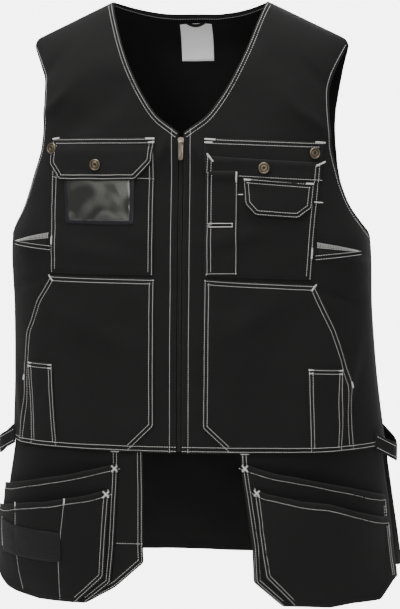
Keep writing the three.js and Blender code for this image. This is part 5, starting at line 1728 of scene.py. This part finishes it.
def build_holsters():
    canvas = material_of("Black twill canvas")
    thickness, cloth = sizes().pocket_cloth / MM, sizes().cloth / MM
    back_face = -cloth - HOLSTER_BEHIND
    for side in (RIGHT, LEFT):
        rows, skin = HOLSTERS[side], HOLSTER_SKIN[side]
        set_out = lambda part: placed(part, side, HOLSTER_INSET, HOLSTER_WIDTH, FRONT_LENGTH, HOLSTER_LENGTH)
        bottom = set_out(rows["bottom"])
        on_holster = lambda line, last=LAST_TURN: from_holster(dense(line, 2.0), side, last)
        paths = []

        def piece(label, outline, base, deep, seams, last=LAST_TURN, puff=0.5):
            shape = soften(dense(on_holster(outline, last), 2.0, closed=True), 2, closed=True)
            shape = shape[np.concatenate([[True], np.linalg.norm(np.diff(shape, axis=0), axis=1) > 0.4])]
            lines = [on_holster(line, last) for line in seams]
            made = Cloth(skin, shape, deep, base=base, seams=lines, puff=puff, mesh=0.9)
            made.build(*sided(label, side), "canvas", canvas)
            paths.extend(runs(made, lines))
            return made

        top_line = [(side * 330, FRONT_LENGTH - HOLSTER_TUCK * 0.95)]
        backing_last = LAST_BACKING_TURN if side == LEFT else LAST_TURN
        back_rows = set_out(rows["back"])
        back_outline = np.vstack([back_rows, bottom[::-1], top_line])
        last = len(back_rows)
        back_seams = rails(back_outline, 0, last, trim=2)
        if side == LEFT:
            back_seams = rails(back_outline, 0, last - 1)
        backing = piece("holster_back", back_outline, flat(back_face - cloth), cloth, back_seams,
                        backing_last, 0.0)
        inner_base = back_face + LAYER_GAP
        inner_gape = lambda points: gape(points, INNER_GAPE, HOLSTER_LENGTH / 5)
        whole_gape = lambda points: gape(points, INNER_GAPE + OUTER_GAPE, HOLSTER_LENGTH / 3)
        outer_gape = lambda points: np.maximum(whole_gape(points), inner_gape(points))
        mouth, corner = set_out(rows["inner_mouth"]), set_out(rows["inner_corner"])
        inner_outline = np.vstack([mouth, bottom, corner])
        turn = 1 if area(inner_outline) > 0 else -1
        mouth_line = shifted(spline(mouth, 4), MOUTH_STITCH * turn)
        count = len(inner_outline)
        side_lines = rails(inner_outline, count - 3, count, (1.8, 6.0))
        inner = piece("holster_inner", inner_outline, lambda points: inner_base + inner_gape(points),
                      thickness, [mouth_line, *side_lines])
        upper = [(side * (HOLSTER_INSET + 2.0), FRONT_LENGTH - 2), tuple(mouth[0] + [side * 2.0, 6])]
        for shift in (0.0, 4.6):
            rise = np.array(upper) + [side * shift, 0]
            paths.append(run(backing, from_holster(dense(rise, 2.0), side, LAST_TURN), 0.3))
        mouth, corner = set_out(rows["outer_mouth"]), set_out(rows["outer_corner"])
        outer_outline = np.vstack([mouth, bottom[:-1], corner])
        count = len(outer_outline)
        turn = 1 if area(outer_outline) > 0 else -1
        mouth_line = shifted(spline(mouth, 4), MOUTH_STITCH * turn)
        seams = [mouth_line, *rails(outer_outline, count - 2, count, (1.8, 6.0))]
        if side == RIGHT:
            seams += [np.array(line, float) for line in HOLSTER_DIVIDERS]
        outer_face = lambda points: inner_base + thickness + LAYER_GAP + outer_gape(points)
        outer = piece("holster_outer", outer_outline, outer_face, thickness, seams)
        at = lambda x, drop: tuple(from_holster([(x, drop)], side, LAST_TURN)[0])
        for part, made in (("inner_mouth", inner), ("outer_mouth", outer)):
            x, drop = set_out(rows[part])[0]
            near, far, low = x + side * 1, x + side * 8, drop + 11
            paths += tacks(made, [((near, drop + 3), (far, low)), ((far, drop + 3), (near, low))], at)
        drop = FRONT_LENGTH + 1
        near, far = side * (HOLSTER_INSET - 1), side * (HOLSTER_INSET + 10)
        paths.append(tack(backing, at(near, drop), at(far, drop), 3.0))
        if side == LEFT:
            rim = np.interp(LAST_TURN, TURNS, ARC)
            for made, high, low in ((inner, 84, 104), (outer, 112, 178)):
                for inset in (2.0, 6.0):
                    paths.append(run(made, [(side * (rim - inset), high), (side * (rim - inset), low)]))
        if side == RIGHT:
            build_band(outer, set_out, on_holster)
            paths += [run(backing, on_holster([(-52, 736), (-86, 736.5)])), *tacks(outer, HOLSTER_TACKS, at)]
        stitches("holster_stitching_" + NAMES[side], paths)


def build_band(outer, set_out, on_holster):
    """The elastic across the right holster."""
    far, low = BAND_ACROSS + BAND_WIDTH, BAND_DOWN + BAND_HEIGHT
    corners = set_out([(BAND_ACROSS, BAND_DOWN + 0.025), (far, BAND_DOWN), (far, low),
                       (BAND_ACROSS, low + 0.015)])
    lines = on_holster(np.vstack([corners, corners[:1]]))[:-1]
    arched = lambda uv: 0.4 + 0.6 * np.abs(np.sin(uv[:, 0] * math.pi / 62))
    band = Cloth(HOLSTER_SKIN[RIGHT], lines, 1.0, below=[outer], rise=arched, turned_edge=0.0, mesh=0.6)
    band.build("tool_band_elastic", "tool_band", "elastic", material_of("Black webbing"))


# Hammer loops


def build_loops():
    webbing = material_of("Black webbing")
    paths = []
    for side in (RIGHT, LEFT):
        thickness = sizes().cloth / MM
        half, _ = section(side, FRONT_LENGTH)
        low = ORIGIN_DROP - FRONT_LENGTH
        ends = []
        for face, turn, stand in LOOP_ENDS:
            angle = turn * math.pi / 2
            wide, depths = section(side, FRONT_LENGTH - LOOP_HEIGHT / 3)
            x = wide * math.sin(angle) ** (2 / SQUARENESS)
            y = face * (depths[face] * math.cos(angle) ** (2 / SQUARENESS) + SEAM_GAP / 2)
            out = (thickness / 2 + LAYER_GAP + stand * LAYER_GAP) / math.sqrt(2)
            ends.append((side * (x + out), y + face * out, low + LOOP_HEIGHT / 3))
        reach = half + LOOP_REACH
        knots = [
            ends[0], (side * (half + LOOP_REACH * 0.75), -FRONT_DEPTH / 3, low - LOOP_HEIGHT / 4),
            (side * reach, -FRONT_DEPTH / 8, low - LOOP_HEIGHT / 2),
            (side * (half + LOOP_REACH * 0.7), BACK_DEPTH / 8, low - LOOP_HEIGHT / 4), ends[1],
        ]
        line = spline(knots, 14)
        along = np.gradient(line, axis=0)
        along[:, 2] = 0
        along /= np.linalg.norm(along, axis=1)[:, None]
        out = np.stack([along[:, 1], -along[:, 0], np.zeros(len(line))], 1)
        out *= np.where(out[:, :1] * side < 0, -1, 1)
        rows = 9
        half_ring = [(0.5 if 0 < i < rows - 1 else 0.25, 0.5 - i / (rows - 1)) for i in range(rows)]
        ring = half_ring + [(-thick, -tall) for thick, tall in half_ring]
        points, uv = [], []
        lengths = np.concatenate([[0], np.cumsum(np.linalg.norm(np.diff(line, axis=0), axis=1))])
        for k, centre in enumerate(line):
            for thick, tall in ring:
                points.append(centre + out[k] * thick * thickness + np.array([0, 0, tall * LOOP_HEIGHT]))
                uv.append((lengths[k], tall * LOOP_HEIGHT))
        size = len(ring)
        faces = []
        for k in range(len(line) - 1):
            for i in range(size):
                a, b = k * size + i, k * size + (i + 1) % size
                faces.append((a, a + size, b + size, b))
        faces += [tuple(range(size)), tuple(range((len(line) - 1) * size, len(line) * size))[::-1]]
        points = np.array(points)
        if not outward(points, faces):
            faces = [f[::-1] for f in faces]
        obj = mesh_object("hammer_loop_webbing_" + NAMES[side], points, faces)
        add_floats(obj, "edge", [FAR] * len(points))
        add_uv(obj, np.array(uv)[:, ::-1] * MM)
        finish_piece(obj, "hammer_loop_" + NAMES[side], webbing)
        for tall in (0.32, -0.32):
            row = line + out * (thickness / 2 + 0.1) + [0, 0, tall * LOOP_HEIGHT]
            paths.append(plain_row(row[2:-2], out[2:-2]))
    stitches("loop_stitching", paths)


def outward(points, faces):
    """True if the faces of a closed shape point outwards."""
    volume = 0.0
    for face in faces:
        a = points[face[0]]
        for i in range(1, len(face) - 1):
            volume += float(np.dot(a, np.cross(points[face[i]], points[face[i + 1]])))
    return volume > 0


# Buttons


BUTTON_PROFILE = [
    (0.0, 0.0, 0), (0.82, 0.0, 0), (0.95, 0.12, 0.1), (1.0, 0.35, 0), (0.98, 0.62, 0), (0.93, 0.85, 0),
    (0.86, 0.97, 0),
    (0.8, 1.0, 0), (0.74, 0.95, 0.2), (0.7, 0.78, 0.9), (0.66, 0.72, 1.0), (0.6, 0.76, 0.5),
    (0.5, 0.86, 0.1), (0.34, 0.92, 0),
    (0.26, 0.86, 0.5), (0.2, 0.74, 1.0), (0.1, 0.68, 0.9), (0.0, 0.66, 0.8),
]


def build_buttons():
    brass = material_of("Antique brass")
    segments = 40
    for name, side, inset, drop, layer in BUTTONS:
        points, normals = STACK["chest", side][layer].on_face([spot(side * inset, drop)], 0.1)
        centre = points[0]
        normal = Vector(normals[0])
        turn = normal.to_track_quat("Z", "X").to_matrix()
        rows = [(r * BUTTON_RADIUS, h * BUTTON_HEIGHT) for r, h, _ in BUTTON_PROFILE]
        local, hollow = [], []
        for (r, h), (_, _, dark) in zip(rows[1:-1], BUTTON_PROFILE[1:-1]):
            for s in range(segments):
                angle = 2 * math.pi * s / segments
                local.append((r * math.cos(angle), r * math.sin(angle), h))
                hollow.append(dark)
        count = len(rows) - 2
        local += [(0, 0, rows[0][1]), (0, 0, rows[-1][1])]
        hollow += [0, BUTTON_PROFILE[-1][2]]
        faces = ring_faces(count, segments)
        first, last = count * segments, count * segments + 1
        for s in range(segments):
            faces.append((first, (s + 1) % segments, s))
            top = (count - 1) * segments
            faces.append((last, top + s, top + (s + 1) % segments))
        world = [np.array(turn @ Vector(p)) + centre for p in local]
        obj = mesh_object(name + "_brass", world, faces)
        add_floats(obj, "hollow", hollow)
        finish_piece(obj, name, brass)


# Stage


def look_at(obj, target):
    obj.rotation_euler = (Vector(target) - obj.location).to_track_quat("-Z", "Y").to_euler()


def area_light(name, place, target, size, power):
    data = bpy.data.lights.new(name, "AREA")
    data.shape, data.size, data.size_y = "RECTANGLE", size[0], size[1]
    data.energy = power
    lamp = add_object(name, data)
    lamp.location = place
    lamp.visible_camera = False
    look_at(lamp, target)


def build_stage():
    """A pale floor, soft lights and a white surround."""
    angles = [2 * math.pi * i / FLOOR_CORNERS for i in range(FLOOR_CORNERS)]
    rim = [(FLOOR_RADIUS * math.cos(a), FLOOR_RADIUS * math.sin(a), -FLOOR_DROP) for a in angles]
    floor = mesh_object("studio_floor", np.array(rim) / MM, [tuple(range(FLOOR_CORNERS))])
    material, nodes, shader = new_material("Pale studio floor")
    grain = texture(nodes, 3.0, 2.0)
    tint(nodes, shader, grain.outputs[0], (0.86, 0.86, 0.86), (0.9, 0.9, 0.9))
    adjust(shader, Roughness=0.9)
    floor.data.materials.append(material)
    build_surround()
    for light in LIGHTS:
        area_light(*light)
    build_camera()


def build_surround():
    """Even light from all round, and white where the view meets nothing."""
    world = bpy.data.worlds.new("Studio")
    bpy.context.scene.world = world
    world.use_nodes = True
    nodes = world.node_tree.nodes
    soft = need(nodes.get("Background"), "no background")
    soft.inputs["Color"].default_value = (1, 1, 1, 1)
    soft.inputs["Strength"].default_value = 0.6
    white = add_node(nodes, "ShaderNodeBackground", Color=(1, 1, 1, 1), Strength=6.0)
    seen = nodes.new("ShaderNodeLightPath")
    chosen = nodes.new("ShaderNodeMixShader")
    join(seen.outputs["Is Camera Ray"], chosen.inputs[0])
    join(soft.outputs[0], chosen.inputs[1])
    join(white.outputs[0], chosen.inputs[2])
    join(chosen.outputs[0], need(nodes.get("World Output"), "no world output").inputs["Surface"])


def build_camera():
    """The camera of the photograph's view."""
    turn, rise = math.radians(VIEW_TURN), math.radians(VIEW_RISE)
    level = math.cos(rise)
    forward = Vector((-math.sin(turn) * level, math.cos(turn) * level, -math.sin(rise)))
    right = Vector((math.cos(turn), math.sin(turn), 0))
    data = bpy.data.cameras.new("view")
    data.lens, data.sensor_width = LENS, FILM_WIDTH
    camera = add_object("view", data)
    camera.location = Vector(VIEW_MIDDLE) - forward * VIEW_DISTANCE + right * VIEW_STEP
    camera.rotation_euler = forward.to_track_quat("-Z", "Y").to_euler()
    bpy.context.scene.camera = camera


# Operators and panel


class VestOperator:
    bl_options = {"REGISTER", "UNDO"}

    def execute(self, context):
        self.build()
        return {"FINISHED"}


class VEST_OT_body(VestOperator, bpy.types.Operator):
    """Make the front and back panels with their stitching"""
    bl_idname = "vest.body"
    bl_label = "Body panels"
    build = staticmethod(build_body)


class VEST_OT_neck(VestOperator, bpy.types.Operator):
    """Make the tape, label and hanger loop inside the back neck"""
    bl_idname = "vest.neck"
    bl_label = "Back neck"
    build = staticmethod(build_neck)


class VEST_OT_zip(VestOperator, bpy.types.Operator):
    """Make the zip's tape, teeth, slider and pull"""
    bl_idname = "vest.zip"
    bl_label = "Zip"
    build = staticmethod(build_zip)


class VEST_OT_chest_right(VestOperator, bpy.types.Operator):
    """Make the right chest pocket with its flap and window"""
    bl_idname = "vest.chest_right"
    bl_label = "Right chest pocket"
    build = staticmethod(build_chest_right)


class VEST_OT_chest_left(VestOperator, bpy.types.Operator):
    """Make the left chest pocket with its pen pocket and flaps"""
    bl_idname = "vest.chest_left"
    bl_label = "Left chest pocket"
    build = staticmethod(build_chest_left)


class VEST_OT_slits(VestOperator, bpy.types.Operator):
    """Make the facings of the side slits"""
    bl_idname = "vest.slits"
    bl_label = "Side slits"
    build = staticmethod(build_slits)


class VEST_OT_lower(VestOperator, bpy.types.Operator):
    """Make the lower pockets, the ruler pockets and the hem's stitching"""
    bl_idname = "vest.lower"
    bl_label = "Lower pockets"
    build = staticmethod(build_lower)


class VEST_OT_holsters(VestOperator, bpy.types.Operator):
    """Make the holster pockets and the elastic tool band"""
    bl_idname = "vest.holsters"
    bl_label = "Holster pockets"
    build = staticmethod(build_holsters)


class VEST_OT_loops(VestOperator, bpy.types.Operator):
    """Make the hammer loops at the hem"""
    bl_idname = "vest.loops"
    bl_label = "Hammer loops"
    build = staticmethod(build_loops)


class VEST_OT_buttons(VestOperator, bpy.types.Operator):
    """Make the four buttons"""
    bl_idname = "vest.buttons"
    bl_label = "Buttons"
    build = staticmethod(build_buttons)


class VEST_OT_stage(VestOperator, bpy.types.Operator):
    """Make the floor, the lights and the camera"""
    bl_idname = "vest.stage"
    bl_label = "Stage"
    build = staticmethod(build_stage)


OPERATORS = (
    VEST_OT_body, VEST_OT_neck, VEST_OT_zip, VEST_OT_chest_right, VEST_OT_chest_left, VEST_OT_slits,
    VEST_OT_lower, VEST_OT_holsters, VEST_OT_loops, VEST_OT_buttons, VEST_OT_stage,
)


class VEST_PT_panel(bpy.types.Panel):
    """Lists the vest's pieces and their settings"""
    bl_idname = "VEST_PT_panel"
    bl_label = "Utility Work Vest"
    bl_space_type = "VIEW_3D"
    bl_region_type = "UI"
    bl_category = "Vest"

    def draw(self, context):
        for group in (context.scene.vest_sizes, context.scene.vest_colours):
            for key in group.__annotations__:
                self.layout.prop(group, key)
        for operator in OPERATORS:
            self.layout.operator(operator.bl_idname)


CLASSES = (VestSizes, VestColours, *OPERATORS, VEST_PT_panel)


def register():
    for item in CLASSES:
        bpy.utils.register_class(item)
    bpy.types.Scene.vest_sizes = PointerProperty(type=VestSizes)
    bpy.types.Scene.vest_colours = PointerProperty(type=VestColours)


def unregister():
    del bpy.types.Scene.vest_colours
    del bpy.types.Scene.vest_sizes
    for item in reversed(CLASSES):
        bpy.utils.unregister_class(item)


def main():
    register()
    for operator in OPERATORS:
        group, name = operator.bl_idname.split(".")
        getattr(getattr(bpy.ops, group), name)()


if __name__ == "__main__":
    main()
